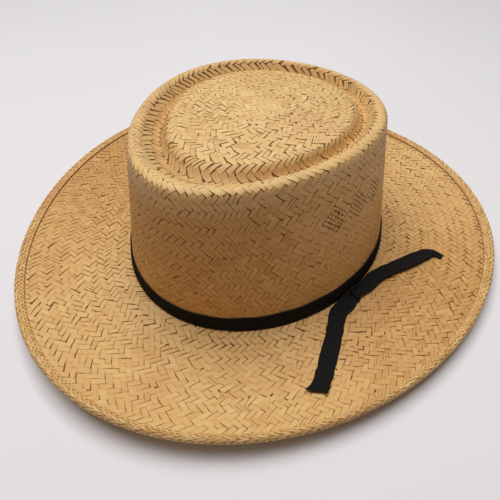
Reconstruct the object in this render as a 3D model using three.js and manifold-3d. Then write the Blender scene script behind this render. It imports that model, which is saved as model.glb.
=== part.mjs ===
// Palm straw hat with an oval telescope crown, a dished brim and a narrow ribbon.
// Millimetres, +Z up, the front of the hat towards -Y and the wearer's left towards +X.
// The origin is under the middle of the brim, on the surface that the hat lies on.

import * as THREE from 'three';
import { mergeVertices } from 'three/addons/utils/BufferGeometryUtils.js';
import Module from 'manifold-3d';

// Driving dimensions of the straw
const strawThickness = 1.6;
const seatGap = 0.3;

// Driving dimensions of the crown, measured outside
const crownLength = 197.4;
const crownWidth = 175.8;
const crownEgg = 0.06;
const crownHeight = 96.5;
const crownFall = 12.4;
const topLength = 189.6;
const topWidth = 146.2;
const topEgg = 0.19;
const topLean = 3.7;
const rimRadius = 5;
const footRadius = 1;
const grooveDepth = 8.6;
const domeRise = 3.5;

// Driving dimensions of the brim, from the foot of the crown to the outer edge
const brimFront = 78.5;
const brimBack = 75;
const brimSide = 74.1;
const brimEgg = 0.09;
const flatWidth = 12;
const edgeRiseFront = 15.8;
const edgeRiseBack = 7.1;
const edgeRiseSide = 8.9;

// How strongly the brim's rise gathers towards its edge, 1 for an even slope
const dishPower = 1.6;

// Driving dimensions of the folded hem
const hemWidth = 4.5;
const hemThickness = 1;

// Driving dimensions of the ribbon
const ribbonWidth = 10;
const ribbonThickness = 1;
const ribbonClearance = 0.8;
const pinchAngle = -15.8;
const pinchSplit = 0.4;

// Driving dimensions of the air vents, which lie in a row of diamonds on each side
const ventSize = 1.8;
const ventPitch = 3.9;
const ventRows = 4;
const ventDiamonds = 3;
const ventMargin = 0.8;
const ventDrop = 28.5;
const ventForward = 16.5;

// How finely the forms are divided
const stepsAround = 60;
const stepsAlongTail = 16;
const domeShares = [0.45, 0.8, 1];
const lipShares = [1 / 3, 2 / 3, 1];
const grooveShares = [0.35, 0.7, 1];
const rimDegrees = [60, 30, 0];
const dishShares = [0.4, 0.7, 1];
const fullTurn = 2 * Math.PI;
const up = new THREE.Vector3(0, 0, 1);

// Crown top, from the crest of the rim inwards: insets at the front and back are shares of topLength,
// at the side of topWidth, egg is a share of topEgg and drop a share of grooveDepth below the crest
const topSections = {
  crest: { front: 0, back: 0, side: 0, egg: 1, drop: 0 },
  groove: { front: 0.1, back: 0.035, side: 0.068, egg: 0.9, drop: 1 },
  lip: { front: 0.151, back: 0.077, side: 0.101, egg: 0.65, drop: 0.25 },
};

// Ribbon ends: around in degrees, away as a share of brimSide, width and lift as shares of ribbonWidth
const frontTailRows = [
  { around: pinchAngle - pinchSplit, away: 0, width: 0.7, lift: 0 },
  { around: -20.7, away: 0.008, width: 0.9, lift: 0 },
  { around: -27.2, away: 0.043, width: 1, lift: 0 },
  { around: -33.1, away: 0.185, width: 1, lift: 0 },
  { around: -37.8, away: 0.334, width: 1, lift: 0 },
  { around: -41.5, away: 0.486, width: 1, lift: 0.02 },
  { around: -44, away: 0.592, width: 1, lift: 0.12 },
];
const backTailRows = [
  { around: pinchAngle + pinchSplit, away: 0, width: 0.7, lift: 0 },
  { around: -10.2, away: 0.004, width: 0.9, lift: 0.04 },
  { around: -4.2, away: 0.012, width: 1, lift: 0.1 },
  { around: 1.8, away: 0.092, width: 1, lift: 0.14 },
  { around: 6.6, away: 0.193, width: 1, lift: 0.15 },
  { around: 10.9, away: 0.304, width: 1, lift: 0.14 },
  { around: 12.7, away: 0.402, width: 1, lift: 0.1 },
  { around: 12.2, away: 0.48, width: 0.9, lift: 0.02 },
];

// Ovals that follow from the sizes
const crownSetBack = (brimFront - brimBack) / 2;

const footOval = {
  halfLength: crownLength / 2,
  halfWidth: crownWidth / 2,
  egg: crownEgg,
  middle: crownSetBack,
};

const edgeOval = {
  halfLength: (crownLength + brimFront + brimBack) / 2,
  halfWidth: crownWidth / 2 + brimSide,
  egg: brimEgg,
  middle: 0,
};

const wallTopOval = {
  halfLength: topLength / 2,
  halfWidth: topWidth / 2,
  egg: topEgg,
  middle: crownSetBack - topLean,
};

const bodyEdgeOval = insetOval(edgeOval, hemThickness + seatGap);
const crestOval = insetOval(wallTopOval, rimRadius);
const brimTop = strawThickness;
const wallFootHeight = brimTop + footRadius;
const wallTopHeight = crownHeight - rimRadius;

function insetOval(oval, inset) {
  return { ...oval, halfLength: oval.halfLength - inset, halfWidth: oval.halfWidth - inset };
}

// An oval with its front, back and side drawn in by a row of the crown-top table
function sectionOval(row) {
  const front = row.front * topLength;
  const back = row.back * topLength;
  return {
    halfLength: crestOval.halfLength - (front + back) / 2,
    halfWidth: crestOval.halfWidth - row.side * topWidth,
    egg: topEgg * row.egg,
    middle: crestOval.middle + (front - back) / 2,
  };
}

function mixNumber(a, b, share) {
  return a + (b - a) * share;
}

function mixOval(a, b, share) {
  return {
    halfLength: mixNumber(a.halfLength, b.halfLength, share),
    halfWidth: mixNumber(a.halfWidth, b.halfWidth, share),
    egg: mixNumber(a.egg, b.egg, share),
    middle: mixNumber(a.middle, b.middle, share),
  };
}

// A point of an egg-shaped oval, which is wider at the back than at the front
function ovalPoint(oval, angle, height) {
  const across = oval.halfWidth * Math.cos(angle) * (1 + oval.egg * Math.sin(angle));
  const along = oval.middle + oval.halfLength * Math.sin(angle);
  return new THREE.Vector3(across, along, height);
}

// How far the crown's top is raised or lowered at a place, because it slopes down to the back
function fallAt(along) {
  return (-crownFall / 2) * (along - crestOval.middle) / crestOval.halfLength;
}

function topPoint(oval, angle, height) {
  const point = ovalPoint(oval, angle, height);
  point.z += fallAt(point.y);
  return point;
}

// A soft S from 0 to 1
function softStep(share) {
  return (1 - Math.cos(Math.PI * share)) / 2;
}

// Side wall, from 0 at its foot to 1 where the rim begins
function wallPoint(share, angle) {
  const height = mixNumber(wallFootHeight, wallTopHeight, share);
  const point = ovalPoint(mixOval(footOval, wallTopOval, share), angle, height);
  point.z += fallAt(point.y) * share;
  return point;
}

// Height of the brim's edge above its flat part, higher in front than at the back
function edgeRise(angle) {
  const ends = mixNumber(edgeRiseFront, edgeRiseBack, (1 + Math.sin(angle)) / 2);
  return mixNumber(edgeRiseSide, ends, Math.sin(angle) ** 2);
}

// Upper face of the brim, from 0 at the foot of the crown to 1 at the edge oval that is given
function brimPoint(share, angle, outer = edgeOval) {
  const foot = ovalPoint(footOval, angle, brimTop);
  const edge = ovalPoint(outer, angle, brimTop);
  const flatShare = flatWidth / foot.distanceTo(edge);
  const risen = Math.max(0, (share - flatShare) / (1 - flatShare));
  const point = ovalPoint(mixOval(footOval, outer, share), angle, brimTop);
  point.z += edgeRise(angle) * risen ** dishPower;
  return point;
}

// Where the flat part of the brim ends
function flatEnd(angle) {
  const foot = ovalPoint(footOval, angle, brimTop);
  const edge = ovalPoint(bodyEdgeOval, angle, brimTop);
  return brimPoint(flatWidth / foot.distanceTo(edge), angle, bodyEdgeOval);
}

// Outer face of crown and brim as rings, from the tip outwards; a flat ring gets a level underside
function bodyRings() {
  const groove = sectionOval(topSections.groove);
  const lip = sectionOval(topSections.lip);
  const crestHeight = crownHeight;
  const grooveHeight = crestHeight - grooveDepth;
  const lipHeight = crestHeight - grooveDepth * topSections.lip.drop;
  const rings = [];
  for (const share of domeShares) {
    const oval = { ...lip, halfLength: lip.halfLength * share, halfWidth: lip.halfWidth * share };
    const height = lipHeight + domeRise * (1 - share ** 2);
    rings.push({ at: (angle) => topPoint(oval, angle, height) });
  }
  for (const share of lipShares) {
    const height = mixNumber(lipHeight, grooveHeight, softStep(share));
    rings.push({ at: (angle) => topPoint(mixOval(lip, groove, share), angle, height) });
  }
  for (const share of grooveShares) {
    const height = mixNumber(grooveHeight, crestHeight, softStep(share));
    rings.push({ at: (angle) => topPoint(mixOval(groove, crestOval, share), angle, height) });
  }
  for (const degrees of rimDegrees) {
    const turn = THREE.MathUtils.degToRad(degrees);
    const oval = insetOval(wallTopOval, rimRadius * (1 - Math.cos(turn)));
    const height = wallTopHeight + rimRadius * Math.sin(turn);
    rings.push({ at: (angle) => topPoint(oval, angle, height) });
  }
  rings.push({ at: (angle) => wallPoint(0, angle) });
  const bend = footRadius * (1 - Math.SQRT1_2);
  const bendOval = insetOval(footOval, -bend);
  rings.push({ at: (angle) => ovalPoint(bendOval, angle, brimTop + bend) });
  rings.push({ at: (angle) => ovalPoint(insetOval(footOval, -footRadius), angle, brimTop), flat: true });
  rings.push({ at: flatEnd, flat: true });
  for (const share of dishShares) {
    rings.push({ at: (angle) => brimPoint(share, angle, bodyEdgeOval) });
  }
  return rings;
}

// Unit normal of a grid of points, from its neighbours along and around
function gridNormal(grid, row, column) {
  const before = grid[Math.max(row - 1, 0)][column];
  const after = grid[Math.min(row + 1, grid.length - 1)][column];
  const count = grid[row].length;
  const previous = grid[row][(column + count - 1) % count];
  const next = grid[row][(column + 1) % count];
  const out = after.clone().sub(before);
  const round = next.clone().sub(previous);
  return out.cross(round).normalize();
}

function angleOf(step) {
  return (fullTurn * step) / stepsAround;
}

// A closed mesh from a list of points and a list of triangles
function meshFrom(points, triangles) {
  const geometry = new THREE.BufferGeometry();
  const positions = points.flatMap((point) => [point.x, point.y, point.z]);
  geometry.setAttribute('position', new THREE.Float32BufferAttribute(positions, 3));
  geometry.setIndex(triangles);
  return geometry;
}

// The straw wall of crown and brim: an outer face, an inner face one thickness below, and an edge
function bodyShell() {
  const rings = bodyRings();
  const outer = rings.map((ring) => Array.from({ length: stepsAround }, (_, step) => ring.at(angleOf(step))));
  const inner = outer.map((row, index) => row.map((point, step) => {
    const normal = rings[index].flat ? up : gridNormal(outer, index, step);
    return point.clone().addScaledVector(normal, -strawThickness);
  }));
  const lip = sectionOval(topSections.lip);
  const tip = new THREE.Vector3(0, lip.middle, 0);
  tip.z = crownHeight - grooveDepth * topSections.lip.drop + domeRise + fallAt(tip.y);
  const points = [tip, tip.clone().addScaledVector(up, -strawThickness), ...outer.flat(), ...inner.flat()];
  const outerStart = 2;
  const innerStart = outerStart + outer.length * stepsAround;
  const triangles = [];
  for (let step = 0; step < stepsAround; step += 1) {
    const next = (step + 1) % stepsAround;
    triangles.push(0, outerStart + step, outerStart + next);
    triangles.push(1, innerStart + next, innerStart + step);
    for (let row = 0; row < outer.length - 1; row += 1) {
      const here = row * stepsAround;
      const below = here + stepsAround;
      pushQuad(triangles, outerStart + here + step, outerStart + below + step, outerStart + below + next,
        outerStart + here + next);
      pushQuad(triangles, innerStart + here + step, innerStart + here + next, innerStart + below + next,
        innerStart + below + step);
    }
    const last = (outer.length - 1) * stepsAround;
    pushQuad(triangles, outerStart + last + step, innerStart + last + step, innerStart + last + next,
      outerStart + last + next);
  }
  return meshFrom(points, triangles);
}

function pushQuad(triangles, a, b, c, d) {
  triangles.push(a, b, c, a, c, d);
}

// A section with the same number of corners at every step, swept once round and closed on itself.
// The corners go round the section so that its faces point outwards.
function sweptRing(sections) {
  const corners = sections[0].length;
  const triangles = [];
  for (let step = 0; step < sections.length; step += 1) {
    const next = (step + 1) % sections.length;
    for (let corner = 0; corner < corners; corner += 1) {
      const other = (corner + 1) % corners;
      pushQuad(triangles, step * corners + corner, step * corners + other, next * corners + other,
        next * corners + corner);
    }
  }
  return meshFrom(sections.flat(), triangles);
}

// A swept section with its two ends closed, for a strip
function sweptStrip(sections) {
  const corners = sections[0].length;
  const triangles = [];
  for (let step = 0; step < sections.length - 1; step += 1) {
    for (let corner = 0; corner < corners; corner += 1) {
      const other = (corner + 1) % corners;
      pushQuad(triangles, step * corners + corner, step * corners + other, (step + 1) * corners + other,
        (step + 1) * corners + corner);
    }
  }
  const last = (sections.length - 1) * corners;
  for (let corner = 1; corner < corners - 1; corner += 1) {
    triangles.push(0, corner + 1, corner);
    triangles.push(last, last + corner, last + corner + 1);
  }
  return meshFrom(sections.flat(), triangles);
}

// The fold round the edge of the brim, a channel with a rounded nose
function hemGeometry() {
  const half = strawThickness / 2;
  const slot = half + seatGap;
  const skin = slot + hemThickness;
  const nose = seatGap + hemThickness;
  const section = [
    { out: -hemWidth, rise: slot },
    { out: -hemWidth, rise: skin },
    { out: seatGap, rise: skin },
    { out: nose, rise: slot / 2 },
    { out: nose, rise: -slot / 2 },
    { out: seatGap, rise: -skin },
    { out: -hemWidth, rise: -skin },
    { out: -hemWidth, rise: -slot },
    { out: seatGap, rise: -slot },
    { out: seatGap, rise: slot },
  ];
  const innerShare = 0.7;
  const sections = Array.from({ length: stepsAround }, (_, step) => {
    const angle = angleOf(step);
    const edge = brimPoint(1, angle, bodyEdgeOval);
    const out = edge.clone().sub(brimPoint(innerShare, angle, bodyEdgeOval)).normalize();
    const before = brimPoint(1, angle - fullTurn / stepsAround, bodyEdgeOval);
    const after = brimPoint(1, angle + fullTurn / stepsAround, bodyEdgeOval);
    const normal = out.clone().cross(after.sub(before)).normalize();
    const middle = edge.addScaledVector(normal, -half);
    return section.map((corner) => middle.clone()
      .addScaledVector(out, corner.out)
      .addScaledVector(normal, corner.rise));
  });
  return sweptRing(sections);
}

// The outward level direction of the crown's wall
function wallOut(share, angle) {
  const small = 0.001;
  const along = wallPoint(share, angle + small).sub(wallPoint(share, angle - small));
  return along.cross(up).normalize();
}

// The ribbon that stands round the foot of the crown
function bandGeometry() {
  const wallHeight = wallTopHeight - wallFootHeight;
  const lowShare = (ribbonClearance - footRadius) / wallHeight;
  const highShare = lowShare + ribbonWidth / wallHeight;
  const sections = Array.from({ length: stepsAround }, (_, step) => {
    const angle = angleOf(step);
    const corner = (share, stand) => wallPoint(share, angle).addScaledVector(wallOut(share, angle), stand);
    return [
      corner(lowShare, seatGap),
      corner(highShare, seatGap),
      corner(highShare, seatGap + ribbonThickness),
      corner(lowShare, seatGap + ribbonThickness),
    ];
  });
  return sweptRing(sections);
}

// A point on the upper face of the brim at a distance from the foot of the crown
function brimAway(distance, angle) {
  const width = ovalPoint(footOval, angle, 0).distanceTo(ovalPoint(edgeOval, angle, 0));
  return brimPoint(distance / width, angle);
}

// A ribbon end that lies on the brim, from the pinch outwards
function tailGeometry(rows) {
  const standOff = 2 * seatGap + ribbonThickness;
  const spine = new THREE.CatmullRomCurve3(rows.map((row) => new THREE.Vector3(
    row.around,
    standOff + (row.width * ribbonWidth) / 2 + row.away * brimSide,
    row.lift * ribbonWidth,
  )));
  const widths = new THREE.CatmullRomCurve3(rows.map((row) => new THREE.Vector3(row.width * ribbonWidth, 0, 0)));
  const place = (share) => {
    const point = spine.getPoint(share);
    return { angle: THREE.MathUtils.degToRad(point.x), distance: point.y, lift: Math.max(0, point.z) };
  };
  const level = (share) => {
    const spot = place(share);
    return brimAway(spot.distance, spot.angle).setZ(0);
  };
  const small = 0.002;
  const sections = [];
  for (let step = 0; step <= stepsAlongTail; step += 1) {
    const share = step / stepsAlongTail;
    const spot = place(share);
    const ahead = level(Math.min(share + small, 1)).sub(level(Math.max(share - small, 0)));
    const side = ahead.cross(up).normalize();
    const half = widths.getPoint(share).x / 2;
    const sides = [-half, half].map((offset) => {
      const spread = level(share).addScaledVector(side, offset);
      return restOnBrim(spread, spot.lift + seatGap);
    });
    const [left, right] = sides;
    sections.push([
      left,
      left.clone().addScaledVector(up, ribbonThickness),
      right.clone().addScaledVector(up, ribbonThickness),
      right,
    ]);
  }
  return sweptStrip(sections);
}

// Puts a level point at a height above the upper face of the brim, found by closing in on its place
function restOnBrim(point, height) {
  let angle = Math.atan2(point.y - crownSetBack, point.x);
  let distance = 0;
  const rounds = 12;
  for (let round = 0; round < rounds; round += 1) {
    const found = brimAway(distance, angle);
    const outward = brimAway(distance + seatGap, angle).sub(found).setZ(0).normalize();
    const miss = point.clone().sub(found).setZ(0);
    const around = new THREE.Vector3(-outward.y, outward.x, 0);
    const radius = Math.hypot(point.x, point.y);
    distance += miss.dot(outward);
    angle += miss.dot(around) / radius;
  }
  return point.clone().setZ(brimAway(Math.max(distance, 0), angle).z + height);
}

// Closed geometry to a solid that can be joined and cut, and back
const wasm = await Module();
wasm.setup();

function toSolid(geometry) {
  const bare = geometry.clone();
  bare.deleteAttribute('normal');
  bare.deleteAttribute('uv');
  const merged = mergeVertices(bare, 1e-4);
  return new wasm.Manifold(new wasm.Mesh({
    numProp: 3,
    vertProperties: new Float32Array(merged.attributes.position.array),
    triVerts: new Uint32Array(merged.index.array),
  }));
}

function toGeometry(solid) {
  const mesh = solid.getMesh();
  const geometry = new THREE.BufferGeometry();
  geometry.setAttribute('position', new THREE.Float32BufferAttribute(mesh.vertProperties, 3));
  geometry.setIndex(Array.from(mesh.triVerts));
  return geometry;
}

// One square peg through the wall, a corner up, at a level distance and a rise from the vents' middle
function ventPeg(sideSign, forward, rise) {
  const wallHeight = wallTopHeight - wallFootHeight;
  const share = 1 - (ventDrop - rise) / wallHeight;
  const oval = mixOval(footOval, wallTopOval, share);
  const rightAngle = Math.asin((-forward - (oval.middle - crownSetBack)) / oval.halfLength);
  const angle = sideSign > 0 ? rightAngle : Math.PI - rightAngle;
  const outward = wallOut(share, angle);
  const rising = wallPoint(1, angle).sub(wallPoint(0, angle)).normalize();
  const normal = rising.clone().cross(outward).cross(rising).normalize();
  const across = rising.clone().cross(normal);
  const pegLength = 6 * strawThickness;
  const peg = new THREE.BoxGeometry(ventSize, ventSize, pegLength);
  peg.rotateZ(Math.PI / 4);
  peg.applyMatrix4(new THREE.Matrix4().makeBasis(across, rising, normal));
  const centre = wallPoint(share, angle);
  peg.translate(centre.x, centre.y, centre.z);
  return toSolid(peg);
}

// All the pegs of the vents: diamonds of rows that lean both ways, in a level row on each side
function ventPegs() {
  const halfSpan = (ventRows - 1) / 2;
  const diamondSpacing = ((ventRows - 1) * ventPitch + ventSize) * Math.SQRT2 + ventMargin;
  const pegs = [];
  for (const sideSign of [1, -1]) {
    for (let diamond = 0; diamond < ventDiamonds; diamond += 1) {
      const start = ventForward + (diamond - (ventDiamonds - 1) / 2) * diamondSpacing;
      for (let i = 0; i < ventRows; i += 1) {
        for (let j = 0; j < ventRows; j += 1) {
          const forward = start + (i - j) * ventPitch * Math.SQRT1_2;
          const rise = (i + j - 2 * halfSpan) * ventPitch * Math.SQRT1_2;
          pegs.push(ventPeg(sideSign, forward, rise));
        }
      }
    }
  }
  return pegs.reduce((all, peg) => all.add(peg));
}

function strawMaterial(color) {
  return new THREE.MeshStandardMaterial({ color, roughness: 0.62, metalness: 0 });
}

function ribbonMaterial() {
  return new THREE.MeshStandardMaterial({ color: 0x141516, roughness: 0.85, metalness: 0 });
}

function piece(name, geometry, material) {
  geometry.computeVertexNormals();
  const mesh = new THREE.Mesh(geometry, material);
  mesh.name = name;
  return mesh;
}

const hat = new THREE.Group();
const body = toSolid(bodyShell()).subtract(ventPegs());
hat.add(piece('hat_body', toGeometry(body), strawMaterial(0xc9a261)));
hat.add(piece('brim_hem', hemGeometry(), strawMaterial(0xbf9250)));
hat.add(piece('ribbon_band', bandGeometry(), ribbonMaterial()));
hat.add(piece('ribbon_tail_front', tailGeometry(frontTailRows), ribbonMaterial()));
hat.add(piece('ribbon_tail_back', tailGeometry(backTailRows), ribbonMaterial()));

export default hat;
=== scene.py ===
"""A palm straw hat with a telescope crown: twill-woven straw, a plaited hem and a grosgrain ribbon.

Sizes are millimetres. The frame, the finished pieces and the camera are in metres, +Z up, the front of
the hat towards -Y and the wearer's left towards +X.
"""

import logging
import math
from collections.abc import Callable
from dataclasses import dataclass, field, replace
from enum import Enum

import bpy
import numpy as np
from mathutils import Matrix, Vector


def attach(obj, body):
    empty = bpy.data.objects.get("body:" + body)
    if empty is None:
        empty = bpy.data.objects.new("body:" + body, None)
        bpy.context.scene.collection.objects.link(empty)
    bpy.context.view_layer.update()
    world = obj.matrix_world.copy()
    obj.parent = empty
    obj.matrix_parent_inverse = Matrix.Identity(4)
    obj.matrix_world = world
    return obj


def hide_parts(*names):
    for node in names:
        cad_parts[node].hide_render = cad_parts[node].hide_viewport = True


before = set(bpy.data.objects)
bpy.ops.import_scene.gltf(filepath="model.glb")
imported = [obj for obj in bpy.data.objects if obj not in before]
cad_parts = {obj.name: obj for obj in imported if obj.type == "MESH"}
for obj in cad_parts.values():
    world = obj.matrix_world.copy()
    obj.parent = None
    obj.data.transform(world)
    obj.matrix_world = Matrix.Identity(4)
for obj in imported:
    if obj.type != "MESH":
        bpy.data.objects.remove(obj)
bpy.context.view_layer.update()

BODY = "root"
MM = 0.001
FULL_TURN = 2 * math.pi
HALF_DIAGONAL = math.sqrt(0.5)
LOOP_STEPS = 360
WELD_DISTANCE = 0.01
UP = np.array([0.0, 0.0, 1.0])
LOG = logging.getLogger("straw_hat")

Number = float | np.ndarray


def soft_step(share: Number) -> Number:
    """A soft S from 0 to 1."""
    return (1 - np.cos(np.pi * np.clip(share, 0, 1))) / 2


def bell(offset: float, spread: float) -> float:
    """A soft bump that is 1 at offset 0 and fades with distance from it."""
    return math.exp(-((offset / spread) ** 2))


def unit(vectors: np.ndarray) -> np.ndarray:
    """The vectors at length 1."""
    least_length = 1e-12
    return vectors / np.maximum(np.linalg.norm(vectors, axis=-1, keepdims=True), least_length)


def path_length(points: np.ndarray) -> float:
    """The length of a line through points."""
    return float(np.linalg.norm(np.diff(points, axis=0), axis=1).sum())


def travelled_along(points: np.ndarray) -> np.ndarray:
    """How far along the line through the points each of them lies."""
    return np.concatenate([[0], np.cumsum(np.linalg.norm(np.diff(points, axis=0), axis=1))])


def deselect_all() -> None:
    """Leaves nothing selected, so that the next operator acts on its own object alone."""
    for obj in bpy.context.selected_objects:
        obj.select_set(False)


def new_grid(name: str, columns: int, rows: int) -> tuple[bpy.types.Object, np.ndarray]:
    """Adds a flat grid, ready to be wrapped on the hat.

    Args:
        name: The piece's name.
        columns: Faces along it.
        rows: Faces across it.

    Returns:
        The object and its flat points, from -0.5 to 0.5 each way.
    """
    deselect_all()
    bpy.ops.mesh.primitive_grid_add(x_subdivisions=columns, y_subdivisions=rows, size=1)
    obj = bpy.context.object
    obj.name = name
    return obj, np.array([vertex.co for vertex in obj.data.vertices])


def wrap(obj: bpy.types.Object, points: np.ndarray) -> None:
    """Moves a grid's points to their places on the hat, given in millimetres."""
    obj.data.vertices.foreach_set("co", (points * MM).astype(np.float32).ravel())


def thicken(obj: bpy.types.Object, thickness: float) -> None:
    """Joins a wrapped grid's seams, turns its faces outwards and gives it a wall on the inner side.

    Args:
        obj: The wrapped grid.
        thickness: Thickness of the wall, in millimetres.
    """
    bpy.ops.object.mode_set(mode="EDIT")
    bpy.ops.mesh.select_all(action="SELECT")
    bpy.ops.mesh.remove_doubles(threshold=WELD_DISTANCE * MM)
    bpy.ops.mesh.normals_make_consistent(inside=False)
    bpy.ops.object.mode_set(mode="OBJECT")
    solidify = obj.modifiers.new("thickness", "SOLIDIFY")
    solidify.thickness = thickness * MM
    solidify.offset = -1
    bpy.ops.object.modifier_apply(modifier=solidify.name)
    bpy.ops.object.shade_smooth()


@dataclass(frozen=True)
class Oval:
    """An egg-shaped level oval, wider at the back than at the front.

    Attributes:
        half_length: Half its length, front to back.
        half_width: Half its width.
        egg: How much wider than its middle it is at the back, as a share.
        middle: How far back its middle lies.
    """

    half_length: Number
    half_width: Number
    egg: Number
    middle: Number

    def inset(self, by: Number) -> "Oval":
        """The oval drawn in by a distance."""
        return replace(self, half_length=self.half_length - by, half_width=self.half_width - by)

    def mix(self, other: "Oval", share: Number) -> "Oval":
        """The oval between this one, at share 0, and another, at share 1."""
        return Oval(
            self.half_length + (other.half_length - self.half_length) * share,
            self.half_width + (other.half_width - self.half_width) * share,
            self.egg + (other.egg - self.egg) * share,
            self.middle + (other.middle - self.middle) * share,
        )

    def point(self, angle: np.ndarray, height: Number) -> np.ndarray:
        """Points of the oval.

        Args:
            angle: Angles in radians, 0 at the wearer's left and a quarter turn at the back.
            height: Their height.

        Returns:
            An array of points with the coordinates last.
        """
        across = self.half_width * np.cos(angle) * (1 + self.egg * np.sin(angle))
        along = self.middle + self.half_length * np.sin(angle)
        return np.stack(np.broadcast_arrays(across, along, height), -1).astype(float)


@dataclass(frozen=True)
class TopSection:
    """One ring of the crown's top, set in from its crest.

    Attributes:
        front: Inset at the front, as a share of the top's length.
        back: Inset at the back, as a share of the top's length.
        side: Inset at each side, as a share of the top's width.
        egg: Its egg shape, as a share of the top's.
        drop: How far below the crest it lies, as a share of the groove's depth.
    """

    front: float
    back: float
    side: float
    egg: float
    drop: float


@dataclass
class Surface:
    """A smooth face of the hat as a fine net, read at a course and at a share of the turn.

    Attributes:
        courses: The course of each row of the net, rising outwards from the tip.
        points: The net's points, row by row.
        normals: The outward direction at each point.
    """

    courses: np.ndarray
    points: np.ndarray
    normals: np.ndarray = field(init=False)

    def __post_init__(self) -> None:
        """Works out the outward directions from the net's neighbours."""
        along = np.gradient(self.points, axis=0)
        around = np.roll(self.points, -1, 1) - np.roll(self.points, 1, 1)
        self.normals = unit(np.cross(along, around))

    def at(self, course: np.ndarray, turn: np.ndarray) -> tuple[np.ndarray, np.ndarray]:
        """Points and outward directions at places on the face.

        Args:
            course: Course numbers.
            turn: Shares of the whole turn.

        Returns:
            The points and the unit normals.
        """
        rows, columns = self.points.shape[:2]
        row = np.interp(course, self.courses, np.arange(rows))
        column = (np.asarray(turn) % 1) * columns
        upper = np.clip(np.floor(row).astype(int), 0, rows - 2)
        left = np.floor(column).astype(int) % columns
        right = (left + 1) % columns
        down = (row - upper)[..., None]
        over = (column - np.floor(column))[..., None]

        def blend(net: np.ndarray) -> np.ndarray:
            """The net's values between the four nearest of its points."""
            top = net[upper, left] * (1 - over) + net[upper, right] * over
            low = net[upper + 1, left] * (1 - over) + net[upper + 1, right] * over
            return top * (1 - down) + low * down

        return blend(self.points), unit(blend(self.normals))

    def loop_length(self, course: float) -> float:
        """The length of the loop once round the hat at a course."""
        turns = np.linspace(0, 1, LOOP_STEPS + 1)
        return path_length(self.at(np.full(turns.shape, course), turns)[0])


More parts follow.
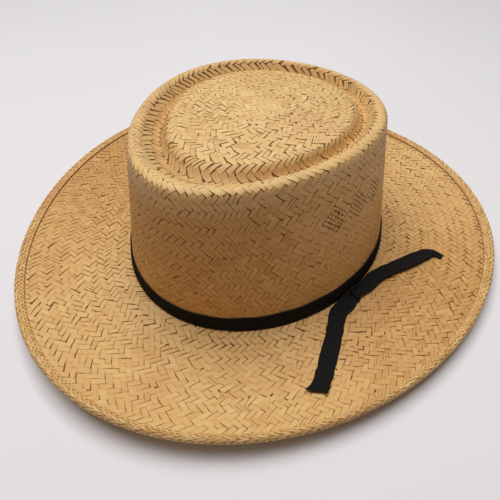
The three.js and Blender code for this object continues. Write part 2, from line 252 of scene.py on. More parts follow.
@dataclass
class HatForm:
    """The form of crown and brim, in millimetres, as the solid model has it.

    Attributes:
        seat_gap: What is left free between pieces that lie on one another.
        crown_length: Length outside at the foot of the wall, with crown_width and crown_egg.
        crown_fall: How much lower the rim is at the back than at the front.
        top_length: Length where the wall meets the rim, with top_width and top_egg.
        top_lean: How far the top stands forward of the foot.
        dome_rise: How far the middle of the tip stands above its lip.
        flat_width: Width of the level ring that the hat lies on.
        dish_power: How late the brim's rise comes, 1 for a straight slope.
    """

    straw_thickness: float = 1.6
    seat_gap: float = 0.3
    crown_length: float = 197.4
    crown_width: float = 175.8
    crown_egg: float = 0.06
    crown_height: float = 96.5
    crown_fall: float = 12.4
    top_length: float = 189.6
    top_width: float = 146.2
    top_egg: float = 0.19
    top_lean: float = 3.7
    rim_radius: float = 5
    foot_radius: float = 1
    groove_depth: float = 8.6
    dome_rise: float = 3.5
    brim_front: float = 78.5
    brim_back: float = 75
    brim_side: float = 74.1
    brim_egg: float = 0.09
    flat_width: float = 12
    edge_rise_front: float = 15.8
    edge_rise_back: float = 7.1
    edge_rise_side: float = 8.9
    dish_power: float = 1.6
    hem_thickness: float = 1
    groove: TopSection = TopSection(0.1, 0.035, 0.068, 0.9, 1)
    lip: TopSection = TopSection(0.151, 0.077, 0.101, 0.65, 0.25)
    net_columns: int = 1440
    net_rows_a_course: int = 5

    def __post_init__(self) -> None:
        """Works out the ovals and heights that follow from the sizes."""
        self.set_back = (self.brim_front - self.brim_back) / 2
        self.foot_oval = Oval(self.crown_length / 2, self.crown_width / 2, self.crown_egg, self.set_back)
        edge_length = self.crown_length + self.brim_front + self.brim_back
        self.edge_oval = Oval(edge_length / 2, self.crown_width / 2 + self.brim_side, self.brim_egg, 0)
        top_middle = self.set_back - self.top_lean
        self.wall_top_oval = Oval(self.top_length / 2, self.top_width / 2, self.top_egg, top_middle)
        self.crest_oval = self.wall_top_oval.inset(self.rim_radius)
        self.body_edge_oval = self.edge_oval.inset(self.hem_thickness + self.seat_gap)
        self.groove_oval = self.section_oval(self.groove)
        self.lip_oval = self.section_oval(self.lip)
        self.brim_top = self.straw_thickness
        self.wall_foot_height = self.brim_top + self.foot_radius
        self.wall_top_height = self.crown_height - self.rim_radius
        self.groove_height = self.crown_height - self.groove_depth
        self.lip_height = self.crown_height - self.groove_depth * self.lip.drop
        self.turn_angles = self.even_turns()

    def section_oval(self, section: TopSection) -> Oval:
        """The oval of one ring of the crown's top.

        Args:
            section: The ring.

        Returns:
            Its oval.
        """
        front = section.front * self.top_length
        back = section.back * self.top_length
        return Oval(
            self.crest_oval.half_length - (front + back) / 2,
            self.crest_oval.half_width - section.side * self.top_width,
            self.top_egg * section.egg,
            self.crest_oval.middle + (front - back) / 2,
        )

    def even_turns(self) -> np.ndarray:
        """Angles at even distances round the rim, so that the straws are as wide on every side.

        Returns:
            The angles in radians, one for each column of the net.
        """
        fineness = 4
        fine = np.linspace(0, FULL_TURN, fineness * self.net_columns + 1)
        travelled = travelled_along(replace(self.wall_top_oval, egg=0).point(fine, 0.0))
        wanted = np.linspace(0, travelled[-1], self.net_columns, endpoint=False)
        return np.interp(wanted, travelled, fine)

    def fall_at(self, along: Number) -> Number:
        """How far the sloping top is raised or lowered at a place along the hat."""
        return (-self.crown_fall / 2) * (along - self.crest_oval.middle) / self.crest_oval.half_length

    def top_point(self, oval: Oval, angle: np.ndarray, height: Number) -> np.ndarray:
        """Points of the crown's top, with its slope down to the back.

        Args:
            oval: The ring that they lie on.
            angle: Their angles.
            height: Their height before the slope.

        Returns:
            The points.
        """
        points = oval.point(angle, height)
        points[..., 2] += self.fall_at(points[..., 1])
        return points

    def tip_height(self, across: np.ndarray, along: np.ndarray) -> np.ndarray:
        """Height of the raised tip over a level place.

        Args:
            across: The place across the hat.
            along: The place along the hat.

        Returns:
            The height there.
        """
        lengthwise = (along - self.lip_oval.middle) / self.lip_oval.half_length
        sideways = across / self.lip_oval.half_width
        share = np.hypot(lengthwise, sideways)
        return self.lip_height + self.dome_rise * (1 - share**2) + self.fall_at(along)

    def wall_point(self, share: Number, angle: np.ndarray) -> np.ndarray:
        """Points of the side wall, from share 0 at its foot to 1 where the rim begins.

        Args:
            share: How far up the wall they lie.
            angle: Their angles.

        Returns:
            The points.
        """
        height = self.wall_foot_height + (self.wall_top_height - self.wall_foot_height) * share
        points = self.foot_oval.mix(self.wall_top_oval, share).point(angle, height)
        points[..., 2] += self.fall_at(points[..., 1]) * share
        return points

    def edge_rise(self, angle: np.ndarray) -> np.ndarray:
        """Height of the brim's edge above its flat part.

        Args:
            angle: Angles round the brim.

        Returns:
            The height at each.
        """
        back = (1 + np.sin(angle)) / 2
        ends = self.edge_rise_front + (self.edge_rise_back - self.edge_rise_front) * back
        return self.edge_rise_side + (ends - self.edge_rise_side) * np.sin(angle) ** 2

    def brim_point(self, share: Number, angle: np.ndarray, outer: Oval) -> np.ndarray:
        """Points of the brim's upper face, from share 0 at the crown's foot to 1 at the outer oval.

        Args:
            share: How far out they lie.
            angle: Their angles.
            outer: The oval where share is 1.

        Returns:
            The points.
        """
        foot = self.foot_oval.point(angle, self.brim_top)
        edge = outer.point(angle, self.brim_top)
        flat_share = self.flat_width / np.linalg.norm(edge - foot, axis=-1)
        risen = np.maximum(0, (share - flat_share) / (1 - flat_share))
        points = self.foot_oval.mix(outer, share).point(angle, self.brim_top)
        points[..., 2] += self.edge_rise(angle) * risen**self.dish_power
        return points

    def brim_away(self, distance: np.ndarray, angle: np.ndarray) -> np.ndarray:
        """Points of the brim's upper face at a distance from the crown's foot.

        Args:
            distance: How far out they lie.
            angle: Their angles.

        Returns:
            The points.
        """
        across = self.foot_oval.point(angle, 0.0) - self.edge_oval.point(angle, 0.0)
        width = np.linalg.norm(across, axis=-1)
        return self.brim_point(distance / width, angle, self.edge_oval)

    def rest_on_brim(self, points: np.ndarray, lift: Number) -> np.ndarray:
        """Puts level points on the brim, found by closing in on their places.

        Args:
            points: Points whose height is ignored.
            lift: Height above the brim's upper face.

        Returns:
            The points at their height.
        """
        angle = np.arctan2(points[..., 1] - self.set_back, points[..., 0])
        distance = np.zeros(angle.shape)
        probe = self.seat_gap
        rounds = 14
        for _ in range(rounds):
            found = self.brim_away(distance, angle)
            outward = self.brim_away(distance + probe, angle) - found
            outward[..., 2] = 0
            outward = unit(outward)
            miss = points - found
            miss[..., 2] = 0
            around = np.stack([-outward[..., 1], outward[..., 0], np.zeros(angle.shape)], -1)
            radius = np.hypot(points[..., 0], points[..., 1])
            distance = distance + (miss * outward).sum(-1)
            angle = angle + (miss * around).sum(-1) / radius
        rested = points.copy()
        rested[..., 2] = self.brim_away(np.maximum(distance, 0), angle)[..., 2] + lift
        return rested


class Zone(Enum):
    """The stretches of the hat from the tip outwards, each with its number of woven courses."""

    DOME = 13.0
    LIP_SLOPE = 2.0
    RIM_SLOPE = 3.0
    RIM = 1.7
    WALL = 19.0
    FOOT = 0.3
    BRIM = 15.5


def zone_start(zone: Zone) -> float:
    """The course at which a stretch of the hat begins."""
    order = list(Zone)
    return sum(each.value for each in order[: order.index(zone)])


def woven_face(form: HatForm) -> Surface:
    """The outer face of crown and brim, from the middle of the tip to the edge.

    Args:
        form: The hat's form.

    Returns:
        The face as a surface to be read by course and turn.
    """
    angle = form.turn_angles
    least_size = 0.004
    fewest_rows = 4

    def dome(share: float) -> np.ndarray:
        """A ring of the raised tip."""
        size = max(share, least_size)
        lip = form.lip_oval
        oval = replace(lip, half_length=lip.half_length * size, half_width=lip.half_width * size)
        return form.top_point(oval, angle, form.lip_height + form.dome_rise * (1 - size**2))

    def lip_slope(share: float) -> np.ndarray:
        """A ring of the slope from the tip down into the groove."""
        height = form.lip_height + (form.groove_height - form.lip_height) * soft_step(share)
        return form.top_point(form.lip_oval.mix(form.groove_oval, share), angle, height)

    def rim_slope(share: float) -> np.ndarray:
        """A ring of the slope from the groove up to the crest."""
        height = form.groove_height + form.groove_depth * soft_step(share)
        return form.top_point(form.groove_oval.mix(form.crest_oval, share), angle, height)

    def rim(share: float) -> np.ndarray:
        """A ring of the rounding over the rim."""
        turn = math.pi / 2 * (1 - share)
        oval = form.wall_top_oval.inset(form.rim_radius * (1 - math.cos(turn)))
        return form.top_point(oval, angle, form.wall_top_height + form.rim_radius * math.sin(turn))

    def wall(share: float) -> np.ndarray:
        """A ring of the side wall, from above."""
        return form.wall_point(1 - share, angle)

    def foot(share: float) -> np.ndarray:
        """A ring of the rounding at the wall's foot."""
        turn = math.pi / 2 * share
        oval = form.foot_oval.inset(-form.foot_radius * (1 - math.cos(turn)))
        return oval.point(angle, form.wall_foot_height - form.foot_radius * math.sin(turn))

    def brim(share: float) -> np.ndarray:
        """A ring of the brim's upper face."""
        start = form.foot_radius / form.brim_side
        return form.brim_point(start + (1 - start) * share, angle, form.body_edge_oval)

    makers: dict[Zone, Callable[[float], np.ndarray]] = {
        Zone.DOME: dome,
        Zone.LIP_SLOPE: lip_slope,
        Zone.RIM_SLOPE: rim_slope,
        Zone.RIM: rim,
        Zone.WALL: wall,
        Zone.FOOT: foot,
        Zone.BRIM: brim,
    }
    rows = []
    courses = []
    for zone, maker in makers.items():
        steps = max(fewest_rows, math.ceil(zone.value * form.net_rows_a_course))
        for step in range(steps):
            rows.append(maker(step / steps))
            courses.append(zone_start(zone) + zone.value * step / steps)
    rows.append(brim(1.0))
    courses.append(zone_start(Zone.BRIM) + Zone.BRIM.value)
    return Surface(np.array(courses), np.array(rows))


@dataclass
class MeshDraft:
    """Points and four-cornered faces of a piece, gathered before its mesh is made.

    Its lists hold what each call of add brings, and count is the number of points so far.
    """

    points: list[np.ndarray] = field(default_factory=list)
    quads: list[np.ndarray] = field(default_factory=list)
    smooth: list[np.ndarray] = field(default_factory=list)
    strip: list[np.ndarray] = field(default_factory=list)
    tone: list[np.ndarray] = field(default_factory=list)
    rim: list[np.ndarray] = field(default_factory=list)
    count: int = 0

    def add(
        self,
        points: np.ndarray,
        quads: np.ndarray,
        strip: np.ndarray,
        tone: np.ndarray,
        rim: np.ndarray,
        smooth: np.ndarray | None = None,
    ) -> None:
        """Adds a patch of mesh.

        Args:
            points: Its points, in millimetres.
            quads: Its faces, counted from its own first point.
            strip: Two coordinates of each point along and across the strip.
            tone: The shade of each point.
            rim: How near each point is to its straw's edge, up to 1, and above 1 on its cut sides.
            smooth: Which faces are shaded smooth, all if none is given.
        """
        self.points.append(points)
        self.quads.append(quads + self.count)
        self.smooth.append(np.ones(len(quads), bool) if smooth is None else smooth)
        self.strip.append(strip)
        self.tone.append(tone)
        self.rim.append(rim)
        self.count += len(points)

    def build(self, name: str) -> bpy.types.Object:
        """Makes the object, its UV map and its attributes.

        Args:
            name: The piece's name.

        Returns:
            The new object, at the origin.
        """
        points = np.concatenate(self.points) * MM
        quads = np.concatenate(self.quads)
        mesh = bpy.data.meshes.new(name)
        mesh.vertices.add(len(points))
        mesh.vertices.foreach_set("co", points.astype(np.float32).ravel())
        mesh.loops.add(quads.size)
        mesh.loops.foreach_set("vertex_index", quads.astype(np.int32).ravel())
        mesh.polygons.add(len(quads))
        mesh.polygons.foreach_set("loop_start", np.arange(0, quads.size, 4, dtype=np.int32))
        mesh.update(calc_edges=True)
        smooth = np.concatenate(self.smooth)
        mesh.polygons.foreach_set("use_smooth", smooth)
        edge_of_corner = np.zeros(quads.size, np.int32)
        mesh.loops.foreach_get("edge_index", edge_of_corner)
        sharp = np.zeros(len(mesh.edges), bool)
        sharp[edge_of_corner[np.repeat(~smooth, 4)]] = True
        mesh.attributes.new("sharp_edge", "BOOLEAN", "EDGE").data.foreach_set("value", sharp)
        layer = mesh.uv_layers.new(name="strip")
        layer.data.foreach_set("uv", np.concatenate(self.strip)[quads.ravel()].astype(np.float32).ravel())
        for title, values in {"tone": self.tone, "rim": self.rim}.items():
            attribute = mesh.attributes.new(title, "FLOAT", "POINT")
            attribute.data.foreach_set("value", np.concatenate(values).astype(np.float32))
        mesh.validate()
        obj = bpy.data.objects.new(name, mesh)
        bpy.context.scene.collection.objects.link(obj)
        return obj


@dataclass
class FloatPattern:
    """One float of straw as a small flat form: a top whose sides are folded down, ready to be repeated.

    Attributes:
        along: Place of each point along the float, from -1 to 1.
        across: Place across it, from -1 to 1.
        low: True for the points at the foot of its sides.
        quads: Its faces.
        top: Which faces belong to the top.
    """

    along: np.ndarray
    across: np.ndarray
    low: np.ndarray
    quads: np.ndarray
    top: np.ndarray

    @classmethod
    def model(cls, steps_along: int, steps_across: int) -> "FloatPattern":
        """Models the float from a flat grid, whose border is extruded downwards.

        Args:
            steps_along: Faces along the float.
            steps_across: Faces across it.

        Returns:
            The pattern.
        """
        half_way_down = -0.25
        deselect_all()
        bpy.ops.mesh.primitive_grid_add(x_subdivisions=steps_along, y_subdivisions=steps_across, size=2)
        obj = bpy.context.object
        bpy.ops.object.mode_set(mode="EDIT")
        bpy.ops.mesh.select_all(action="DESELECT")
        bpy.ops.mesh.select_mode(type="EDGE")
        bpy.ops.mesh.select_non_manifold()
        bpy.ops.mesh.extrude_region_move(TRANSFORM_OT_translate={"value": (0, 0, -1)})
        bpy.ops.mesh.select_all(action="SELECT")
        bpy.ops.mesh.normals_make_consistent(inside=False)
        bpy.ops.object.mode_set(mode="OBJECT")
        points = np.array([vertex.co for vertex in obj.data.vertices])
        quads = np.array([tuple(face.vertices) for face in obj.data.polygons])
        top = np.array([face.center.z > half_way_down for face in obj.data.polygons])
        if obj.data.polygons[int(np.argmax(top))].normal.z < 0:
            quads = quads[:, ::-1]
        mesh = obj.data
        bpy.data.objects.remove(obj)
        bpy.data.meshes.remove(mesh)
        return cls(points[:, 0], points[:, 1], points[:, 2] < half_way_down, quads, top)


@dataclass(frozen=True)
class FloatShape:
    """How a float lies: shares of its half length and half width, depths in millimetres.

    Attributes:
        reach: How far its ends run on under the straws that cross it.
        fill: The share of its strip that it fills across.
        dip: How deep its ends go down.
        dome: How far its sides curl down.
        uneven: How far it lies higher or lower than its neighbours.
        flat_part: The share of the half length that stays level.
        loose: How much the floats differ in dip.
        slit_share: The share of the floats with an open slit along one side.
        slit: Widest such slit, as a share of the half width.
        slit_range: Narrowest and widest slit, as shares of the widest.
        end_share: The share of the floats' ends that stop short of the straw that crosses them.
        end_slit: Widest such gap, as a share of the half length.
        end_range: Narrowest and widest such gap, as shares of the widest.
        end_bias: How much likelier such a gap is at the end that faces away from the light, as painted
            shade.
        one_sided: The share of the slits that open on the side away from the light, where the dark backing
            shows as painted shade.
        pull: Direction towards the light, which sets where slits and gaps open as painted shade lines.
        full_light_slant: The slant of that direction along the face at which slits and gaps are as wide as
            they are drawn.
        light_slant_range: The least and the greatest share of their width that the slant leaves them.
        wedge: How much a slit tapers from one end to the other, 1 for a slit that closes at one end.
        give: How far a strand spreads into a narrower neighbour, as a share of their distance.
        split_width: Width of each half of a strand that is slit along its middle, as a share of the whole.
        split_place: How far from the middle such a half lies, in half widths.
    """

    reach: float = 1.05
    fill: float = 1.0
    dip: float = 0.07
    dome: float = 0.0
    side: float = 0.3
    uneven: float = 0.02
    flat_part: float = 0.8
    loose: float = 0.6
    slit_share: float = 0.74
    slit: float = 0.43
    slit_range: tuple[float, float] = (0.45, 1)
    end_share: float = 0.5
    end_slit: float = 0.12
    end_range: tuple[float, float] = (0.4, 1)
    end_bias: float = 0.7
    one_sided: float = 0.88
    pull: tuple[float, float, float] = (-0.15, 0.3, 1.0)
    full_light_slant: float = 0.25
    light_slant_range: tuple[float, float] = (0.4, 0.9)
    wedge: float = 0.8
    give: float = 0.22
    split_width: float = 0.47
    split_place: float = 0.53
    strand_width: float = 3.4
    tone_spread: float = 0.04


class Face(Enum):
    """Which face of the straw wall is woven, as the side that its floats look to."""

    OUTSIDE = 1
    INSIDE = -1


@dataclass
class Course:
    """One woven course: a ring of floats that all lean the same way.

    Attributes:
        middle: The course number at its middle.
        lean: 1 for floats that lean with the turn and -1 for the others.
        centres: The floats' places as shares of the turn, in order.
        widths: The strands' widths relative to the usual one.
        tones: The strands' shades.
        split: Which strands are slit along their middle.
    """

    middle: float
    lean: int
    centres: np.ndarray
    widths: np.ndarray
    tones: np.ndarray
    split: np.ndarray


@dataclass
class TwillPlan:
    """The layout of the two-over-two twill: rings of floats, with strands added as the hat widens.

    Attributes:
        surface: The face that is woven.
        pitch: Distance between the floats of a course.
        first: The first whole course round the tip.
        last: The last course.
        seed: Seed of the random draws.
        width_spread: How much the strands differ in width, within width_range.
        tone: Their usual shade, from which they differ by tone_spread.
        split_share: The share of the strands that are slit.
        gap_spread: How much chance has a say in which gaps take a new strand.
        pair_places: Where the two floats of a doubled strand lie in its gap.
        same_reach: How far off a float may come up again, in pitches, and still be the same strand.
        same_tone: How much of its shade a strand keeps when it comes up again.
    """

    surface: Surface
    pitch: float = 4.75
    first: int = 3
    last: int = 54
    seed: int = 11
    width_spread: float = 0.2
    width_range: tuple[float, float] = (0.55, 1.5)
    tone: float = 0.55
    tone_spread: float = 0.13
    split_share: float = 0.07
    gap_spread: float = 0.3
    pair_places: tuple[float, float] = (0.3, 0.7)
    same_reach: float = 0.6
    same_tone: float = 0.75

    def new_strands(
        self, rng: np.random.Generator, count: int
    ) -> tuple[np.ndarray, np.ndarray, np.ndarray]:
        """Draws new strands.

        Args:
            rng: The source of the random draws.
            count: How many strands there are.

        Returns:
            Their widths, their shades and which of them are slit.
        """
        widths = np.clip(rng.normal(1, self.width_spread, count), *self.width_range)
        tones = np.clip(rng.normal(self.tone, self.tone_spread, count), 0, 1)
        return widths, tones, rng.random(count) < self.split_share

    def widen(self, rng: np.random.Generator, centres: np.ndarray, wanted: int) -> np.ndarray:
        """Steps the floats' places on to the next course, and adds strands in the widest gaps.

        Args:
            rng: The source of the random draws.
            centres: The places in the last course.
            wanted: How many floats the next course takes.

        Returns:
            The places in the next course, half a pitch on.
        """
        gaps = (np.roll(centres, -1) - centres) % 1
        extra = max(0, wanted - len(centres))
        rank = np.argsort(-gaps * (1 + self.gap_spread * rng.random(len(gaps))))
        doubled = np.zeros(len(gaps), bool)
        doubled[rank[:extra]] = True
        single = (centres + gaps / 2)[~doubled]
        pairs = [(centres + gaps * share)[doubled] for share in self.pair_places]
        return np.sort(np.concatenate([single, *pairs]) % 1)

    def courses(self) -> list[Course]:
        """Lays out every course from the tip to the edge.

        Returns:
            The courses, from the tip outwards.
        """
        rng = np.random.default_rng(self.seed)
        laid: list[Course] = []
        for number in range(self.first, self.last):
            middle = number + 0.5
            wanted = round(self.surface.loop_length(middle) / self.pitch)
            lean = 1 if number % 2 == 0 else -1
            if laid:
                centres = self.widen(rng, laid[-1].centres, wanted)
            else:
                centres = np.arange(wanted) / wanted
            course = Course(middle, lean, centres, *self.new_strands(rng, len(centres)))
            if len(laid) > 1:
                self.follow(laid[-2], course)
            laid.append(course)
        return laid

    def follow(self, before: Course, course: Course) -> None:
        """Lets a strand keep its width and shade where it comes up again two courses further out.

        Args:
            before: The course two further in.
            course: The new course, whose strands are changed in place.
        """
        step = 1 / len(course.centres)
        source = (course.centres - course.lean * 2 * step)[:, None]
        distance = np.abs((source - before.centres[None, :] + 0.5) % 1 - 0.5)
        nearest = distance.argmin(1)
        same = distance[np.arange(len(course.centres)), nearest] < self.same_reach * step
        kept = self.same_tone
        course.widths[same] = before.widths[nearest][same]
        course.tones[same] = kept * before.tones[nearest][same] + (1 - kept) * course.tones[same]
        course.split[same] = before.split[nearest][same]


@dataclass(frozen=True)
class VentPlan:
    """The air vents: a row of pierced diamonds on each side of the crown, in millimetres.

    Attributes:
        size: Side of a hole in the solid model, which with pitch and rows sets the diamonds' size.
        margin: What is left between two diamonds.
        drop: How far below the rim the diamonds' middle lies, along the wall.
        forward: How far in front of the crown's middle the middle diamond lies.
        fine_size: Side of a hole in the weave, which has fine_rows of them.
        fine_border: What lies outside the outer holes' middles, both sides together, in spacings.
    """

    size: float = 1.8
    pitch: float = 3.9
    rows: int = 4
    diamonds: int = 3
    margin: float = 0.8
    drop: float = 28.5
    forward: float = 16.5
    fine_rows: int = 6
    fine_size: float = 0.98
    fine_border: float = 0.5

    @property
    def side(self) -> float:
        """Length of a diamond's side."""
        return (self.rows - 1) * self.pitch + self.size

    def starts(self) -> list[float]:
        """How far in front of the middle each diamond's centre lies.

        Returns:
            One place for each diamond.
        """
        spacing = self.side * math.sqrt(2) + self.margin
        last = (self.diamonds - 1) / 2
        return [self.forward + (index - last) * spacing for index in range(self.diamonds)]

    def rise_at(self, form: HatForm, course: np.ndarray) -> np.ndarray:
        """Height of a course above the middle of the vents, along the wall."""
        share = (course - zone_start(Zone.WALL)) / Zone.WALL.value
        return self.drop - share * (form.wall_top_height - form.wall_foot_height)

    @staticmethod
    def on_side(form: HatForm, points: np.ndarray) -> np.ndarray:
        """Which places lie on the crown's left or right, away from its middle."""
        return np.abs(points[..., 0]) > form.top_width / 4

    def inside(
        self, form: HatForm, points: np.ndarray, course: np.ndarray, grow: float = 0.0
    ) -> np.ndarray:
        """Which places lie within a diamond.

        Args:
            form: The hat's form.
            points: The places.
            course: Their courses.
            grow: How much larger than itself each diamond is taken to be.

        Returns:
            True for each place inside.
        """
        rise = self.rise_at(form, course)
        found = np.zeros(rise.shape, bool)
        for start in self.starts():
            forward = form.set_back - points[..., 1] - start
            found |= np.abs(forward) + np.abs(rise) < self.side / math.sqrt(2) + grow
        on_wall = (course > zone_start(Zone.WALL)) & (course < zone_start(Zone.FOOT))
        return found & self.on_side(form, points) & on_wall

    def in_hole(self, form: HatForm, points: np.ndarray, course: np.ndarray) -> np.ndarray:
        """Which places lie in one of the small holes, set a corner up in rows along the diamonds' sides.

        Args:
            form: The hat's form.
            points: The places.
            course: Their courses.

        Returns:
            True for each place in a hole.
        """
        rise = self.rise_at(form, course)
        spacing = self.side / (self.fine_rows - 1 + self.fine_border)
        last = (self.fine_rows - 1) / 2
        found = np.zeros(rise.shape, bool)
        for start in self.starts():
            forward = form.set_back - points[..., 1] - start
            first = (rise + forward) * HALF_DIAGONAL / spacing
            second = (rise - forward) * HALF_DIAGONAL / spacing
            near_first = np.clip(np.round(first + last) - last, -last, last)
            near_second = np.clip(np.round(second + last) - last, -last, last)
            off_first = np.abs(first - near_first) * spacing
            off_second = np.abs(second - near_second) * spacing
            found |= np.maximum(off_first, off_second) < self.fine_size / 2
        return found & self.on_side(form, points)


@dataclass
class Weaver:
    """Lays floats of straw on a face of the hat.

    Attributes:
        surface: The outer face of the hat.
        shape: How the floats lie.
        face: Which face of the wall they look to.
        offset: Height of their tops above the outer face, in millimetres.
        seed: Seed of the random draws.
        fibre_range: How far apart the fibres of two floats are drawn at most, in millimetres.
        side_rim: What a float's cut sides have for their nearness to the edge.
        open_corners: How many corners of a face lie in a vent's hole when the face is left out.
        draft: The floats that are laid so far.
    """

    surface: Surface
    shape: FloatShape
    face: Face
    offset: float
    seed: int
    fibre_range: float = 900
    side_rim: float = 1.3
    open_corners: int = 2
    draft: MeshDraft = field(default_factory=MeshDraft)

    def __post_init__(self) -> None:
        """Starts the random draws."""
        self.rng = np.random.default_rng(self.seed)

    def relief(self, pattern: FloatPattern, count: int, strength: Number) -> np.ndarray:
        """Height of each point of each float above the face.

        Args:
            pattern: The float's form.
            count: How many floats there are.
            strength: How strongly they dip, 1 as usual.

        Returns:
            Heights, a row for each float.
        """
        shape = self.shape
        travel = np.abs(pattern.along) * shape.reach
        dipped = soft_step((travel - shape.flat_part) / (shape.reach - shape.flat_part))
        ends = np.sign(pattern.along)[None, :]
        looseness = 1 + self.rng.uniform(-shape.loose, shape.loose, (count, 1)) * ends
        height = -shape.dip * dipped - shape.dome * pattern.across**2
        lift = self.rng.uniform(-shape.uneven, shape.uneven, (count, 1))
        twist = self.rng.uniform(-shape.uneven, shape.uneven, (count, 1)) * pattern.across[None, :]
        seesaw = self.rng.uniform(-shape.uneven, shape.uneven, (count, 1)) * pattern.along[None, :]
        bent = np.atleast_1d(strength)[:, None] * height[None, :] * looseness
        return bent - shape.side * pattern.low[None, :] + lift + twist + seesaw

    def lay(
        self,
        pattern: FloatPattern,
        points: np.ndarray,
        normals: np.ndarray,
        tones: np.ndarray,
        width: Number,
        strength: Number = 1.0,
        open_at: np.ndarray | None = None,
    ) -> None:
        """Adds floats whose places on the face are known.

        Args:
            pattern: The float's form.
            points: Points on the face, a row for each float.
            normals: Outward directions at the points.
            tones: The shade of each float.
            width: Width of a float, for the places along and across its strip.
            strength: How strongly the floats dip.
            open_at: True for the points that lie in a hole of a vent, whose faces are left out.
        """
        count = len(points)
        height = self.relief(pattern, count, strength)
        sign = self.face.value
        placed = points + normals * (self.offset + sign * height)[..., None]
        size = np.broadcast_to(np.atleast_1d(width)[:, None], (count, len(pattern.along)))
        start = self.rng.uniform(0, self.fibre_range, (count, 1, 2))
        strip = np.stack([pattern.along * size, pattern.across * size / 2], -1) + start
        # Nearness to the edge, above 1 on the cut sides, sets the painted shade on each float's edges and
        # sides.
        rim = np.maximum(np.abs(pattern.across) ** 2, np.abs(pattern.along) ** 3)
        rim = np.where(pattern.low, self.side_rim, rim)
        steps = np.arange(count)[:, None, None] * len(pattern.along)
        quads = (pattern.quads[None] + steps).reshape(-1, 4)
        if sign < 0:
            quads = quads[:, ::-1]
        top = np.tile(pattern.top, count)
        if open_at is not None:
            closed = open_at.reshape(-1)[quads].sum(1) < self.open_corners
            quads, top = quads[closed], top[closed]
        self.draft.add(
            placed.reshape(-1, 3),
            quads,
            strip.reshape(-1, 2),
            np.repeat(tones, len(pattern.along)),
            np.tile(rim, count),
            top,
        )

    def light_slants(self, course: Course, lean: int) -> tuple[np.ndarray, np.ndarray]:
        """How far the direction towards the light, laid on the face, runs across each float of a ring and
        along it: it places the slits and gaps that show painted shade.

        Args:
            course: The ring's layout.
            lean: Which way its floats lean.

        Returns:
            The light's slant towards one side and towards one end, from -1 to 1.
        """
        step = 0.25
        pitch = 1 / len(course.centres)
        turned = lean * step * pitch
        rows = np.full(course.centres.shape, course.middle)
        here, normals = self.surface.at(rows, course.centres)
        aside = self.surface.at(rows - step / 2, course.centres + turned / 2)[0] - here
        ahead = self.surface.at(rows + step, course.centres + turned)[0] - here
        pull = unit(np.array(self.shape.pull))
        on_face = pull - normals * (normals @ pull)[:, None]
        return (unit(aside) * on_face).sum(1), (unit(ahead) * on_face).sum(1)

    def opening(self, pull: np.ndarray) -> np.ndarray:
        """How far the light's slant opens the weave for the painted shade lines, as a share of the widths
        that are drawn.
        """
        return np.clip(np.abs(pull) / self.shape.full_light_slant, *self.shape.light_slant_range)

    def side_slits(self, pull: np.ndarray, strength: float) -> tuple[np.ndarray, np.ndarray]:
        """Draws the slit beside each float of a ring, mostly on its side away from the light, where the
        dark backing shows as painted shade.

        Args:
            pull: The light's slant across each float.
            strength: How strongly the floats stand out.

        Returns:
            The slits' widths, as shares of the half width, and the side that each is on, 1 or -1.
        """
        shape = self.shape
        open_beside = self.rng.random(len(pull)) < shape.slit_share
        width = open_beside * self.rng.uniform(*shape.slit_range, len(pull)) * shape.slit
        low_side = np.where(pull < 0, 1, -1)
        side = np.where(self.rng.random(len(pull)) < shape.one_sided, low_side, -low_side)
        return width * strength * self.opening(pull), side

    def float_ends(self, pull: np.ndarray, strength: float) -> np.ndarray:
        """Draws where both ends of each float of a ring lie; gaps come mostly at the end away from the
        light, as painted shade.

        Args:
            pull: The light's slant along each float.
            strength: How strongly the floats stand out.

        Returns:
            The ends' distances from the middle, as shares of the half length, the far end first.
        """
        shape = self.shape
        low_end = np.where(pull < 0, 1, -1)[:, None]
        chance = shape.end_share * (1 + shape.end_bias * low_end * np.array([1, -1])[None, :])
        gap = (self.rng.random(chance.shape) < chance) * self.rng.uniform(*shape.end_range, chance.shape)
        gap = gap * strength * self.opening(pull)[:, None]
        return np.where(gap > 0, 1 - gap * shape.end_slit, shape.reach)

    def lay_course(
        self,
        pattern: FloatPattern,
        course: Course,
        keep: Callable[[np.ndarray, np.ndarray], np.ndarray],
        height: float = 1.0,
        strength: float = 1.0,
        slit: np.ndarray | float = 0.0,
        pierce: Callable[[np.ndarray, np.ndarray], np.ndarray] | None = None,
    ) -> None:
        """Lays one ring of floats.

        Args:
            pattern: The float's form.
            course: The ring's layout.
            keep: Says from the floats' centres and courses which of them are laid.
            height: The ring's height in courses.
            strength: How strongly its floats dip.
            slit: How much narrower each float is, as a share of its width, where bending opens the weave.
            pierce: Says from points and courses which lie in a hole of a vent.
        """
        lean = course.lean * self.face.value
        shape = self.shape
        count = len(course.centres)
